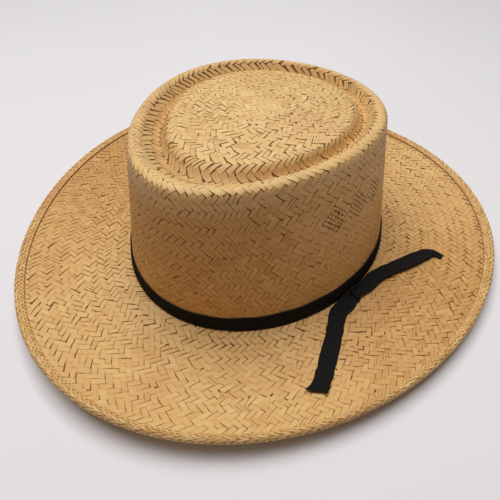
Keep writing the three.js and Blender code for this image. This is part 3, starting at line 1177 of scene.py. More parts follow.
        # Slits and gaps open mostly on the floats' sides and ends away from the light, where the dark
        # backing shows as painted shade lines.
        light_across, light_along = self.light_slants(course, lean)
        loose, side_sign = self.side_slits(light_across, strength)
        ends = self.float_ends(light_along, strength)
        loose = loose + 2 * np.broadcast_to(slit, count)
        right = (np.roll(course.centres, -1) - course.centres) % 1
        left = np.roll(right, 1)
        push = (course.widths - np.roll(course.widths, -1)) * shape.give * right
        push_left = np.roll(push, 1)
        level = np.full(course.centres.shape, course.middle)
        kept = keep(self.surface.at(level, course.centres)[0], level)
        whole = kept & ~course.split
        halved = kept & course.split
        half, place = shape.split_width, shape.split_place
        for chosen, share, middle in ((whole, 1.0, 0.0), (halved, half, -place), (halved, half, place)):
            if not chosen.any():
                continue
            far_end = np.where(pattern.along[None, :] > 0, ends[chosen, :1], ends[chosen, 1:])
            along = pattern.along[None, :] * far_end
            open_side = np.clip(pattern.across[None, :] * side_sign[chosen][:, None], 0, 1)
            opened = loose[chosen][:, None] * (1 + shape.wedge * course.lean * pattern.along[None, :])
            across = pattern.across[None, :] * (shape.fill - opened * open_side)
            across = middle + across * share
            sideways = along + 0.5 * across
            outward = (along - 0.5 * across) * 0.5 * height
            turned = lean * sideways
            near = np.where(turned > 0, right[chosen][:, None], left[chosen][:, None])
            over = lean * across
            shift = (1 + over) / 2 * push[chosen][:, None] + (1 - over) / 2 * push_left[chosen][:, None]
            turn = course.centres[chosen][:, None] + turned * near / 2 + shift
            rows = course.middle + outward
            points, normals = self.surface.at(rows, turn)
            jitter = self.rng.normal(0, shape.tone_spread, chosen.sum())
            tones = np.clip(course.tones[chosen] + jitter, 0, 1)
            open_at = None if pierce is None else pierce(points, rows)
            self.lay(pattern, points, normals, tones, shape.strand_width * share, strength, open_at)


@dataclass
class StrawWeave:
    """All the woven straw of crown and brim, on both faces, over a backing of crossing strands drawn dark
    as painted shade.

    Lengths are millimetres, angles are radians, and places down the hat are counted in courses.

    Attributes:
        outside_offset: Height of the outer floats above the face.
        backing_depth: Height of the backing's upper side.
        tip_radius: Half the length of the straight-laid middle of the tip.
        tip_slit: Widest slit beside the floats there, as a share of the half width.
        patch_across: Place of the wide pale leaf, with patch_along.
        patch_cover: How far round its middle the plain floats are left out, as a share of its side.
        vent_margin: How far outside a vent the floats are still laid finely.
        foot_loss: How much less the floats stand out at the wall's foot than at its top.
        slit_width: Widest slit that bending opens, as a share of the width.
        rim_slit: Middle and spread of such slits from the start of the slope inside the rim.
        rim_slit_least: The share of the widest that is open all round.
        lip_slit: Middle and spread of the slits from the start of the slope at the lip.
        lip_slit_share: Their width as a share of those inside the rim.
        groove_place: Middle and spread of the groove's painted shade, from the start of the same slope.
        groove_sided: The share of that painted shade on every side, and how much it falls towards the back.
        wall_tone: Painted shade: how much darker the leaf is drawn down to the wall's foot.
        wall_top_tone: How much is added to that at the wall's top.
        wall_sided: How much of it is missing on the wearer's left and added on the right.
        wall_start: How far below the start of the rim it begins.
    """

    form: HatForm
    surface: Surface
    vents: VentPlan = field(default_factory=VentPlan)
    shape: FloatShape = field(default_factory=FloatShape)
    outside_offset: float = 0.05
    inside_offset: float = -1.5
    backing_depth: float = -0.62
    backing_thickness: float = 0.42
    backing_columns: int = 240
    backing_rows: int = 120
    brim_course: int = 39
    tip_radius: float = 19.0
    tip_strand: float = 3.3
    tip_slit: float = 0.26
    tip_lift: float = -0.1
    tip_tone: float = 0.62
    tip_tone_spread: float = 0.16
    patch_across: float = -15.5
    patch_along: float = 17.0
    patch_size: float = 10.5
    patch_lift: float = 0.12
    patch_cover: float = 0.42
    vent_margin: float = 3.4
    pierced_steps: tuple[int, int] = (14, 7)
    wall_strength: float = 0.72
    foot_loss: float = 0.32
    slit_width: float = 0.16
    slit_angle: float = 2.6
    rim_slit: tuple[float, float] = (2.0, 0.8)
    rim_slit_least: float = 0.25
    lip_slit: tuple[float, float] = (0.4, 0.9)
    lip_slit_share: float = 0.35
    # Painted shade, taken from the floats' tones: in the groove, on the wall and at the brim's two sides.
    groove_tone: float = 0.62
    groove_place: tuple[float, float] = (-0.3, 1.1)
    groove_sided: tuple[float, float] = (0.6, 0.4)
    wall_tone: float = 0.2
    wall_top_tone: float = 0.55
    wall_sided: float = 0.65
    wall_start: float = 0.5
    # Painted shade at the brim's two sides.
    side_tone: float = 0.38

    @staticmethod
    def past(course: Course, zone: Zone) -> float:
        """How many courses a course lies past the start of a stretch of the hat."""
        return course.middle - zone_start(zone)

    def relief_strength(self, course: Course) -> float:
        """How strongly the floats stand out: less on the pressed wall, and least at its foot.

        Args:
            course: The course.

        Returns:
            The strength, 1 as on the brim.
        """
        down_wall = self.past(course, Zone.WALL) / Zone.WALL.value
        if zone_start(Zone.RIM) < course.middle and down_wall < 1:
            return self.wall_strength - self.foot_loss * max(down_wall, 0)
        return 1.0

    def slits(self, course: Course) -> np.ndarray:
        """How far bending has opened the weave beside each float of a course.

        The slits are widest high on the slope inside the rim and on the lip of the tip, towards the
        back and the wearer's right.

        Args:
            course: The course.

        Returns:
            The missing share of each float's width.
        """
        rim_middle, rim_spread = self.rim_slit
        lip_middle, lip_spread = self.lip_slit
        on_rim = bell(self.past(course, Zone.RIM_SLOPE) - rim_middle, rim_spread)
        on_lip = bell(self.past(course, Zone.LIP_SLOPE) - lip_middle, lip_spread)
        sided = 0.5 + 0.5 * np.cos(course.centres * FULL_TURN - self.slit_angle)
        on_rim = on_rim * (self.rim_slit_least + (1 - self.rim_slit_least) * sided)
        return self.slit_width * (on_rim + self.lip_slit_share * on_lip)

    def painted_shade(self, course: Course) -> np.ndarray:
        """Painted shade: how much darker the leaf is drawn on the wall, in the groove and at the brim's two
        sides.

        The groove is darkest towards the front, and the wall at its top and on the wearer's right.

        Args:
            course: The course.

        Returns:
            What is taken from the tone of each float.
        """
        groove_middle, groove_spread = self.groove_place
        every_side, back_loss = self.groove_sided
        angle = course.centres * FULL_TURN
        in_groove = bell(self.past(course, Zone.RIM_SLOPE) - groove_middle, groove_spread)
        groove = self.groove_tone * in_groove * (every_side - back_loss * np.sin(angle))
        if self.past(course, Zone.BRIM) > 0:
            return groove + self.side_tone * np.cos(angle) ** 4
        on_wall = float(soft_step(self.past(course, Zone.RIM) - self.wall_start))
        up_wall = 1 - self.past(course, Zone.WALL) / Zone.WALL.value
        right_sided = 1 - self.wall_sided * np.cos(angle) * np.abs(np.cos(angle))
        return groove + on_wall * right_sided * (self.wall_tone + self.wall_top_tone * up_wall)

    def keeps(self, points: np.ndarray, course: np.ndarray) -> np.ndarray:
        """Which floats take the plain pattern: those off the smooth patch and clear of the vents.

        Args:
            points: The floats' centres.
            course: Their courses.

        Returns:
            True for each float that is laid.
        """
        across = np.abs(points[..., 0] - self.patch_across)
        along = np.abs(points[..., 1] - self.patch_along)
        in_patch = across + along < self.patch_size * self.patch_cover
        on_tip = course < zone_start(Zone.LIP_SLOPE)
        return ~self.near_vent(points, course) & ~(on_tip & in_patch)

    def near_vent(self, points: np.ndarray, course: np.ndarray) -> np.ndarray:
        """Which floats reach a vent, and so take the fine pattern that can be pierced."""
        return self.vents.inside(self.form, points, course, grow=self.vent_margin)

    def pierce(self, points: np.ndarray, course: np.ndarray) -> np.ndarray:
        """Which points lie in a hole of a vent."""
        return self.vents.in_hole(self.form, points, course)

    def lay_face(
        self, face: Face, inner: bool, plan: list[Course], pattern: FloatPattern, seed: int
    ) -> Weaver:
        """Lays one face of the crown or of the brim.

        Args:
            face: Outside or inside.
            inner: True for the crown and False for the brim.
            plan: The layout of all courses.
            pattern: The float's form.
            seed: Seed of the small irregularities.

        Returns:
            The weaver with its floats laid.
        """
        offset = self.outside_offset if face is Face.OUTSIDE else self.inside_offset
        weaver = Weaver(self.surface, self.shape, face, offset, seed)
        fine = FloatPattern.model(*self.pierced_steps)
        for course in plan:
            if (course.middle < self.brim_course) == inner:
                strength = self.relief_strength(course)
                # The floats' tones are darkened by the painted shade of groove, wall and brim sides.
                course = replace(course, tones=course.tones - self.painted_shade(course))
                weaver.lay_course(pattern, course, self.keeps, strength=strength, slit=self.slits(course))
                if abs(self.vents.rise_at(self.form, course.middle)) < self.vents.side:
                    weaver.lay_course(fine, course, self.near_vent, strength=strength, pierce=self.pierce)
        return weaver

    def lay_tip(self, weaver: Weaver, pattern: FloatPattern) -> None:
        """Lays the straight bricks in the middle of the tip, where the weaving began.

        Args:
            weaver: The crown's weaver.
            pattern: The float's form.
        """
        pitch = self.tip_strand * math.sqrt(2)
        reach = math.ceil(self.tip_radius / pitch) + 1
        lip = self.form.lip_oval
        stretch = lip.half_length / lip.half_width
        along = pattern.along * self.shape.reach
        for row in range(-reach, reach + 1):
            lean = 1 if row % 2 == 0 else -1
            columns = np.arange(-reach, reach + 1) + 0.5 * (row % 2)
            centre_x = columns * pitch
            centre_y = np.full(columns.shape, row * pitch)
            chosen = np.hypot(centre_x * stretch, centre_y) < self.tip_radius
            across = pattern.across * self.shape.fill
            slit = weaver.rng.uniform(0, self.tip_slit, (int(chosen.sum()), 1))
            across = across[None, :] - slit * np.clip(across, 0, 1)[None, :]
            x = centre_x[chosen][:, None] + lean * (along + 0.5 * across) * pitch / 2
            y = centre_y[chosen][:, None] + (along - 0.5 * across) * pitch / 2 + lip.middle
            self.lay_level(weaver, pattern, x, y, self.tip_strand, self.tip_lift)

    def lay_level(
        self, weaver: Weaver, pattern: FloatPattern, x: np.ndarray, y: np.ndarray, width: float, lift: float
    ) -> None:
        """Lays floats on the tip, whose points are given from above.

        Args:
            weaver: The crown's weaver.
            pattern: The float's form.
            x: Places across the hat.
            y: Places along the hat.
            width: Width of the strand.
            lift: Height above the face.
        """
        if not len(x):
            return
        points = np.stack([x, y, self.form.tip_height(x, y) + lift], -1)
        normals = np.broadcast_to(UP, points.shape)
        tones = np.clip(weaver.rng.normal(self.tip_tone, self.tip_tone_spread, len(x)), 0, 1)
        weaver.lay(pattern, points, normals, tones, width)

    def lay_patch(self, weaver: Weaver, pattern: FloatPattern) -> None:
        """Lays the one wide pale leaf that shows beside the middle of the tip.

        Args:
            weaver: The crown's weaver.
            pattern: The float's form.
        """
        half = self.patch_size / 2
        x = self.patch_across + (pattern.along - pattern.across) * half * HALF_DIAGONAL
        y = self.patch_along + (pattern.along + pattern.across) * half * HALF_DIAGONAL
        self.lay_level(weaver, pattern, x[None, :], y[None, :], self.patch_size, self.patch_lift)

    def backing(self) -> bpy.types.Object:
        """Models the backing: a grid wrapped on the form, opened at the vents and given its thickness.

        Returns:
            The finished object.
        """
        obj, flat = new_grid("straw_backing", self.backing_columns, self.backing_rows)
        courses = (flat[:, 1] + 0.5) * float(self.surface.courses[-1])
        points, normals = self.surface.at(courses, 1 - (flat[:, 0] + 0.5))
        wrap(obj, points + normals * self.backing_depth)
        centres = np.array([courses[list(face.vertices)].mean() for face in obj.data.polygons])
        middles = np.array([points[list(face.vertices)].mean(0) for face in obj.data.polygons])
        opened = self.vents.inside(self.form, middles, centres)
        bpy.ops.object.mode_set(mode="EDIT")
        bpy.ops.mesh.select_mode(type="FACE")
        bpy.ops.mesh.select_all(action="DESELECT")
        bpy.ops.object.mode_set(mode="OBJECT")
        obj.data.polygons.foreach_set("select", opened)
        bpy.ops.object.mode_set(mode="EDIT")
        bpy.ops.mesh.delete(type="FACE")
        bpy.ops.object.mode_set(mode="OBJECT")
        thicken(obj, self.backing_thickness)
        return obj


@dataclass(frozen=True)
class PlaitRow:
    """One row of the hem's plait, with lengths in millimetres over the hem's face.

    Attributes:
        middle: How far its middle lies from the inner border above.
        height: Its height.
        pitch: Distance between its floats.
        lean: 1 for floats that lean with the turn and -1 for the others.
        strength: How strongly they dip.
    """

    middle: float
    height: float
    pitch: float
    lean: int
    strength: float


@dataclass
class BrimHem:
    """The plaited fold round the edge of the brim, in millimetres.

    Attributes:
        width: How far the fold reaches in over the brim.
        width_bumps: Angle and spread in degrees, and the share of width that is added there.
        border_row: Middle and height of the row at the border, as shares of half the fold's width.
        second_row: The same for the row beside it.
        flat_strength: How strongly the floats of both dip.
        flat_slack: How much longer a flat side of the face is than the fold's reach.
        nose_overlap: How far the rows on the nose run over their neighbours.
        row_share: What the floats fill of their row's height.
        place_spread: How much the floats' places differ, in pitches.
        base_depth: Height of the folded strip's upper side over the hem's face.
    """

    form: HatForm
    width: float = 4.5
    thickness: float = 1
    width_bumps: tuple[tuple[float, float, float], ...] = (
        (-52, 50, -0.5),
        (25, 34, 0.36),
        (-155, 40, 0.08),
    )
    inner_pitch: float = 3.1
    outer_pitch: float = 5.2
    border_row: tuple[float, float] = (0.62, 1.2)
    second_row: tuple[float, float] = (1.5, 1.35)
    flat_strength: float = 0.7
    flat_slack: float = 0.1
    nose_overlap: float = 0.7
    row_share: float = 0.66
    place_spread: float = 0.06
    width_spread: float = 0.12
    width_range: tuple[float, float] = (0.7, 1.3)
    tone: float = 0.5
    tone_spread: float = 0.15
    plait_seed: int = 41
    layout_seed: int = 43
    steps_flat: int = 8
    steps_nose: int = 14
    base_columns: int = 288
    base_rows: int = 20
    base_depth: float = -0.42
    base_thickness: float = 0.4

    def face(self) -> Surface:
        """The hem's outer face, from its inner border above, round the nose, to its border below.

        Returns:
            The face, with its courses counted in millimetres.
        """
        form = self.form
        angle = form.turn_angles
        inward = 0.7
        edge = form.brim_point(1, angle, form.body_edge_oval)
        out = unit(edge - form.brim_point(inward, angle, form.body_edge_oval))
        along = np.roll(edge, -1, 0) - np.roll(edge, 1, 0)
        normal = unit(np.cross(out, along))
        half = form.straw_thickness / 2
        skin = half + form.seat_gap + self.thickness
        middle = edge - normal * half
        flat = np.linspace(0, 1, self.steps_flat, endpoint=False)
        nose = np.linspace(0, math.pi, self.steps_nose, endpoint=False)
        share = np.ones(len(angle))
        for at, spread, more in self.width_bumps:
            off = (np.degrees(angle) - at + 180) % 360 - 180
            share = share + more * np.exp(-((off / spread) ** 2))
        reach = self.width * share[None] + form.seat_gap
        over_nose = (form.seat_gap + self.thickness * np.sin(nose))[:, None]
        outs = np.concatenate([
            -self.width * share[None] + flat[:, None] * reach,
            np.broadcast_to(over_nose, (self.steps_nose, len(angle))),
            form.seat_gap - np.append(flat, 1.0)[:, None] * reach,
        ])
        rises = np.concatenate([
            np.full(self.steps_flat, skin),
            skin * np.cos(nose),
            np.full(self.steps_flat + 1, -skin),
        ])
        steps = np.hypot(np.diff(outs, axis=0).max(1), np.diff(rises))
        travelled = np.concatenate([[0], np.cumsum(steps)])
        points = middle[None] + out[None] * outs[:, :, None] + normal[None] * rises[:, None, None]
        return Surface(travelled, points)

    def rows(self, length: float) -> list[PlaitRow]:
        """The rows of the plait: two narrow ones on each face, and two that wrap the nose between them.

        Args:
            length: Length of the hem's face from border to border.

        Returns:
            The rows, from the border above to the border below.
        """
        top = self.width + self.flat_slack
        half = top / 2
        nose = length / 2 - top
        border, border_height = (half * share for share in self.border_row)
        second, second_height = (half * share for share in self.second_row)
        above = [
            PlaitRow(border, border_height, self.inner_pitch, -1, self.flat_strength),
            PlaitRow(second, second_height, self.inner_pitch, 1, self.flat_strength),
            PlaitRow(length / 2 - nose / 2, nose + self.nose_overlap, self.outer_pitch, 1, 1.0),
        ]
        below = [replace(row, middle=length - row.middle, lean=-row.lean) for row in reversed(above)]
        return above + below

    @staticmethod
    def keep_all(points: np.ndarray, _: np.ndarray) -> np.ndarray:
        """Every float of the plait is laid."""
        return np.ones(len(points), bool)

    def plait(self, surface: Surface, pattern: FloatPattern) -> bpy.types.Object:
        """Lays the plait, row by row.

        Args:
            surface: The hem's face.
            pattern: The float's form.

        Returns:
            The finished object.
        """
        # The slits beside every float show the darker folded strip, mostly on the side away from the light,
        # as painted shade.
        shape = FloatShape(
            reach=1.06,
            dip=0.2,
            dome=0.05,
            uneven=0.03,
            slit_share=1.0,
            slit=0.46,
            end_share=0.1,
            light_slant_range=(1.0, 1.0),
            wedge=0.0,
        )
        weaver = Weaver(surface, shape, Face.OUTSIDE, 0.0, self.plait_seed)
        rng = np.random.default_rng(self.layout_seed)
        for row in self.rows(float(surface.courses[-1])):
            count = round(surface.loop_length(row.middle) / row.pitch)
            jitter = rng.normal(0, self.place_spread, count) / count
            centres = np.sort((np.arange(count) / count + jitter) % 1)
            widths = np.clip(rng.normal(1, self.width_spread, count), *self.width_range)
            tones = np.clip(rng.normal(self.tone, self.tone_spread, count), 0, 1)
            course = Course(row.middle, row.lean, centres, widths, tones, np.zeros(count, bool))
            weaver.lay_course(pattern, course, self.keep_all, row.height * self.row_share, row.strength)
        return weaver.draft.build("hem_plait")

    def base(self, surface: Surface) -> bpy.types.Object:
        """Models the folded strip under the plait, from a grid wrapped round the edge.

        Args:
            surface: The hem's face.

        Returns:
            The finished object.
        """
        obj, flat = new_grid("hem_fold", self.base_columns, self.base_rows)
        courses = (flat[:, 1] + 0.5) * float(surface.courses[-1])
        points, normals = surface.at(courses, 1 - (flat[:, 0] + 0.5))
        wrap(obj, points + normals * self.base_depth)
        thicken(obj, self.base_thickness)
        return obj


@dataclass(frozen=True)
class TailRow:
    """One place along a ribbon end.

    Attributes:
        around: Angle round the hat, in degrees.
        away: How far out over the brim it lies, as a share of the brim's side width.
        width: The ribbon's width there, as a share of its full width.
        lift: Height above the brim, as a share of the ribbon's width.
    """

    around: float
    away: float
    width: float
    lift: float


@dataclass(frozen=True)
class RibbonEnd:
    """A loose end of the ribbon: its route and the form of its last stretch, in millimetres.

    Attributes:
        name: The piece's name.
        solid: The solid that it stands for.
        curl: How far its last stretch turns down, or up if negative.
        flare: How far one corner of its end stands out.
        skew: How much longer that side of its end is.
        rows: The places that it passes, from the band outwards.
    """

    name: str
    solid: str
    curl: float
    flare: float
    skew: float
    rows: tuple[TailRow, ...]


FRONT_END = RibbonEnd(
    name="grosgrain_tail_front",
    solid="ribbon_tail_front",
    curl=-0.4,
    flare=1.6,
    skew=2.8,
    rows=(
        TailRow(-16.2, 0, 0.75, 0),
        TailRow(-21.8, 0, 1, 0),
        TailRow(-27, 0.026, 1.03, 0),
        TailRow(-33.1, 0.185, 1, 0),
        TailRow(-37.8, 0.334, 1, 0),
        TailRow(-41.5, 0.486, 1, 0.02),
        TailRow(-44.3, 0.605, 1, 0.12),
    ),
)
BACK_END = RibbonEnd(
    name="grosgrain_tail_back",
    solid="ribbon_tail_back",
    curl=1.0,
    flare=0.0,
    skew=0.0,
    rows=(
        TailRow(-17.4, 0, 0.7, 0.12),
        TailRow(-10.2, 0.004, 0.9, 0.1),
        TailRow(-4.2, 0.012, 1, 0.1),
        TailRow(1.8, 0.092, 1, 0.14),
        TailRow(6.6, 0.193, 1, 0.15),
        TailRow(10.9, 0.304, 1, 0.16),
        TailRow(12.9, 0.396, 0.76, 0.14),
        TailRow(13, 0.468, 0.5, 0.1),
        TailRow(12.2, 0.532, 0.42, 0.02),
    ),
)


@dataclass
class Ribbon:
    """The grosgrain ribbon: a band round the foot of the crown and two loose ends, in millimetres.

    Attributes:
        clearance: How far above the brim the band's lower edge runs.
        serration: How far the ribs stand out at the two edges.
        edge_share: Where the edge begins, as a share of the half width.
        sways: Size, waves a turn and phase of the waves in which the band stands off the wall.
        sway_below: The share of them on the band's lower half.
        sway_above: What is added to it up to the upper edge.
        waver: How far the cloth wanders up and down.
        waver_waves: Waves of that in one turn of the band.
        waver_slant: How much the waves lag from one edge to the other.
        waver_middle: The share of them in the middle of the band.
        tail_waver: Pace of the same waves along a loose end, in radians a millimetre.
        tail_drift: Size in radians and pace of their unevenness.
        tail_room: How far from the wall a loose end starts.
        root_length: How long the stretch is over which it still bends at the band.
        root_rise: How far its inner edge climbs the band there.
        flare_lift: How far the corner rises, as a share of how far it stands out.
    """

    form: HatForm
    width: float = 10
    clearance: float = 0.8
    stand_off: float = 0.9
    thickness: float = 0.5
    rib_pitch: float = 0.95
    rib_height: float = 0.1
    serration: float = 0.16
    edge_share: float = 0.95
    sways: tuple[tuple[float, float, float], ...] = ((0.14, 3, 1.0), (0.12, 7, 0.4))
    sway_below: float = 0.3
    sway_above: float = 0.4
    waver: float = 0.22
    waver_waves: int = 23
    waver_slant: float = 1.7
    waver_middle: float = 0.4
    tail_waver: float = 0.37
    tail_drift: tuple[float, float] = (2.1, 0.19)
    spine_steps: int = 400
    steps_a_rib: int = 3
    steps_across: int = 8
    tail_room: float = 1.9
    root_length: float = 20
    root_rise: float = 4.0
    root_ripple: float = 0.5
    curl_stretch: float = 0.9
    flare_stretch: float = 0.5
    skew_stretch: float = 1.2
    flare_lift: float = 0.6

    def around(self) -> float:
        """Length of one turn round the foot of the wall."""
        return path_length(self.form.wall_point(0.0, np.linspace(0, FULL_TURN, 2 * LOOP_STEPS + 1)))

    def selvedge(self, rib: np.ndarray, across: np.ndarray) -> np.ndarray:
        """How far the ribs, from -1 to 1, push the edges out."""
        return self.serration * rib * np.sign(across) * (np.abs(across) > self.edge_share)

    def band(self) -> bpy.types.Object:
        """Models the band from a grid wrapped round the wall.

        Returns:
            The finished object.
        """
        form = self.form
        around = self.around()
        ribs = round(around / self.rib_pitch)
        obj, flat = new_grid("grosgrain_band", ribs * self.steps_a_rib, self.steps_across)
        angle = (flat[:, 0] + 0.5) * FULL_TURN
        across = flat[:, 1] * 2
        rib = np.cos(angle * ribs)
        wander = self.waver * np.sin(self.waver_waves * angle + self.waver_slant * across)
        wander = wander * (self.waver_middle + (1 - self.waver_middle) * np.abs(across))
        rise = (flat[:, 1] + 0.5) * self.width + self.selvedge(rib, across) + wander
        wall_height = form.wall_top_height - form.wall_foot_height
        share = (self.clearance - form.foot_radius) / wall_height + rise / wall_height
        small = 0.001
        direction = form.wall_point(share, angle + small) - form.wall_point(share, angle - small)
        out = unit(np.cross(direction, UP))
        sway = sum(size * np.sin(waves * angle + phase) for size, waves, phase in self.sways)
        sway = sway * (self.sway_below + self.sway_above * np.clip(across, 0, 1))
        stand = self.stand_off + self.rib_height * rib + sway
        placed = form.wall_point(share, angle) + out * stand[:, None]
        self.finish(obj, placed, np.stack([angle / FULL_TURN * around, rise], -1))
        return obj

    def tail(self, end: RibbonEnd) -> tuple[bpy.types.Object, float]:
        """Models a loose end from a grid laid along its spine on the brim.

        Args:
            end: The end's route and form.

        Returns:
            The finished object and its length.
        """
        form = self.form
        table = np.array([[row.around, row.away, row.width, row.lift] for row in end.rows])
        fine = np.linspace(0, len(end.rows) - 1, self.spine_steps)
        around, away, widths, lifts = (self.follow(table[:, column], fine) for column in range(4))
        angle = np.radians(around)
        room = self.tail_room + widths * self.width / 2
        spine = form.brim_away(room + away * form.brim_side, angle)
        spine[:, 2] = 0
        travelled = travelled_along(spine)
        length = float(travelled[-1])
        ribs = round(length / self.rib_pitch)
        obj, flat = new_grid(end.name, ribs * self.steps_a_rib, self.steps_across)
        place = (flat[:, 0] + 0.5) * length
        across = flat[:, 1] * 2

        def read(values: np.ndarray) -> np.ndarray:
            """The spine's values at each point of the grid."""
            return np.interp(place, travelled, values)

        def read_vectors(vectors: np.ndarray) -> np.ndarray:
            """The spine's vectors at each point of the grid."""
            return np.stack([read(vectors[:, axis]) for axis in range(3)], -1)

        def near_end(stretch: float) -> np.ndarray:
            """How near each point is to the end, up to 1, over a stretch counted in ribbon widths."""
            return np.clip(1 - (length - place) / (stretch * self.width), 0, 1)

        ahead = unit(read_vectors(np.gradient(spine, axis=0)))
        side = np.cross(ahead, UP)
        rib = np.cos(FULL_TURN * place / self.rib_pitch)
        drift, drift_pace = self.tail_drift
        phase = place * self.tail_waver + drift * np.sin(place * drift_pace) + across * self.waver_slant
        edge = self.selvedge(rib, across) + self.waver * np.sin(phase) * np.abs(across)
        half = read(widths) * self.width / 2
        spread = read_vectors(spine) + side * (across * half + edge)[:, None]
        corner = end.flare * near_end(self.flare_stretch) ** 2 * np.clip(across, 0, 1) ** 2
        longer = end.skew * near_end(self.skew_stretch) * (across + 1) / 2
        spread = spread + side * corner[:, None] + ahead * longer[:, None]
        outward = unit(form.brim_away(1.0, angle) - form.brim_away(0.0, angle))
        inner = np.clip(-across * (side * read_vectors(outward)).sum(1), 0, 1)
        at_root = soft_step(1 - place / self.root_length)
        ripple = self.root_ripple * at_root * np.cos(across * FULL_TURN)
        fold = self.root_rise * at_root * inner**2 + ripple
        least = form.seat_gap + self.thickness
        lift = np.maximum(read(lifts) * self.width, 0)
        height = lift + least + self.rib_height * rib + fold + self.flare_lift * corner
        height = height - end.curl * near_end(self.curl_stretch) ** 2
        placed = form.rest_on_brim(spread, np.maximum(height, least))
        self.finish(obj, placed, np.stack([place, (across + 1) * self.width / 2], -1))
        return obj, length

    @staticmethod
    def follow(values: np.ndarray, places: np.ndarray) -> np.ndarray:
        """Reads a smooth curve that passes through all values.

        Args:
            values: The values, one for each row.
            places: Where it is read, counted in rows.

        Returns:
            The curve's value at each place.
        """
        padded = np.concatenate([[2 * values[0] - values[1]], values, [2 * values[-1] - values[-2]]])
        start = np.clip(np.floor(places).astype(int), 0, len(values) - 2)
        t = places - start
        before, here, there, after = (padded[start + shift] for shift in range(4))
        slope_here = (there - before) / 2
        slope_there = (after - here) / 2
        return (
            here * (2 * t**3 - 3 * t**2 + 1)
            + slope_here * (t**3 - 2 * t**2 + t)
            + there * (3 * t**2 - 2 * t**3)
            + slope_there * (t**3 - t**2)
        )

    def finish(self, obj: bpy.types.Object, placed: np.ndarray, strip: np.ndarray) -> None:
        """Gives a flat grid its map, its place on the hat and its thickness.

        Args:
            obj: The flat grid.
            placed: Its points on the hat.
            strip: Their places along and across the ribbon.
        """
        layer = obj.data.uv_layers[0]
        layer.name = "strip"
        corners = np.array([loop.vertex_index for loop in obj.data.loops])
        layer.data.foreach_set("uv", strip[corners].astype(np.float32).ravel())
        wrap(obj, placed)
        thicken(obj, self.thickness)


def linear(colour: str) -> tuple[float, float, float, float]:
    """An sRGB hex colour as the linear values that a shader takes.

    Args:
        colour: The hex colour.

    Returns:
        Red, green, blue and an alpha of 1.
    """
    parts = [int(colour[start : start + 2], 16) / 255 for start in (1, 3, 5)]
    curved = [part / 12.92 if part <= 0.04045 else ((part + 0.055) / 1.055) ** 2.4 for part in parts]
    return (*curved, 1.0)


def add_node(
    tree: bpy.types.NodeTree, kind: str, links: dict[str | int, object] | None = None, **settings: object
) -> bpy.types.Node:
    """Adds a node with its settings and its links.

    Args:
        tree: The material's node tree.
        kind: The node's type.
        links: Sockets to link or values to set, by input name or number.
        settings: Properties of the node.

    Returns:
        The new node.
    """
    node = tree.nodes.new(kind)
    for name, value in settings.items():
        setattr(node, name, value)
    for name, value in (links or {}).items():
        if isinstance(value, bpy.types.NodeSocket):
            tree.links.new(value, node.inputs[name])
        else:
            node.inputs[name].default_value = value
    return node


def new_material(name: str) -> tuple[bpy.types.Material, bpy.types.NodeTree, bpy.types.Node]:
    """An empty node material.

    Args:
        name: What the finish is and how it was made.

    Returns:
        The material, its node tree and its shader.
    """
    material = bpy.data.materials.new(name)
    material.use_nodes = True
    return material, material.node_tree, material.node_tree.nodes["Principled BSDF"]


def fill_ramp(node: bpy.types.Node, stops: tuple[tuple[float, str], ...]) -> None:
    """Sets a colour ramp's stops from places and hex colours.

    Args:
        node: The ramp.
        stops: The place and colour of each stop.
    """
    elements = node.color_ramp.elements
    while len(elements) > 1:
        elements.remove(elements[-1])
    elements[0].position = stops[0][0]
    elements[0].color = linear(stops[0][1])
    for place, colour in stops[1:]:
        elements.new(place).color = linear(colour)


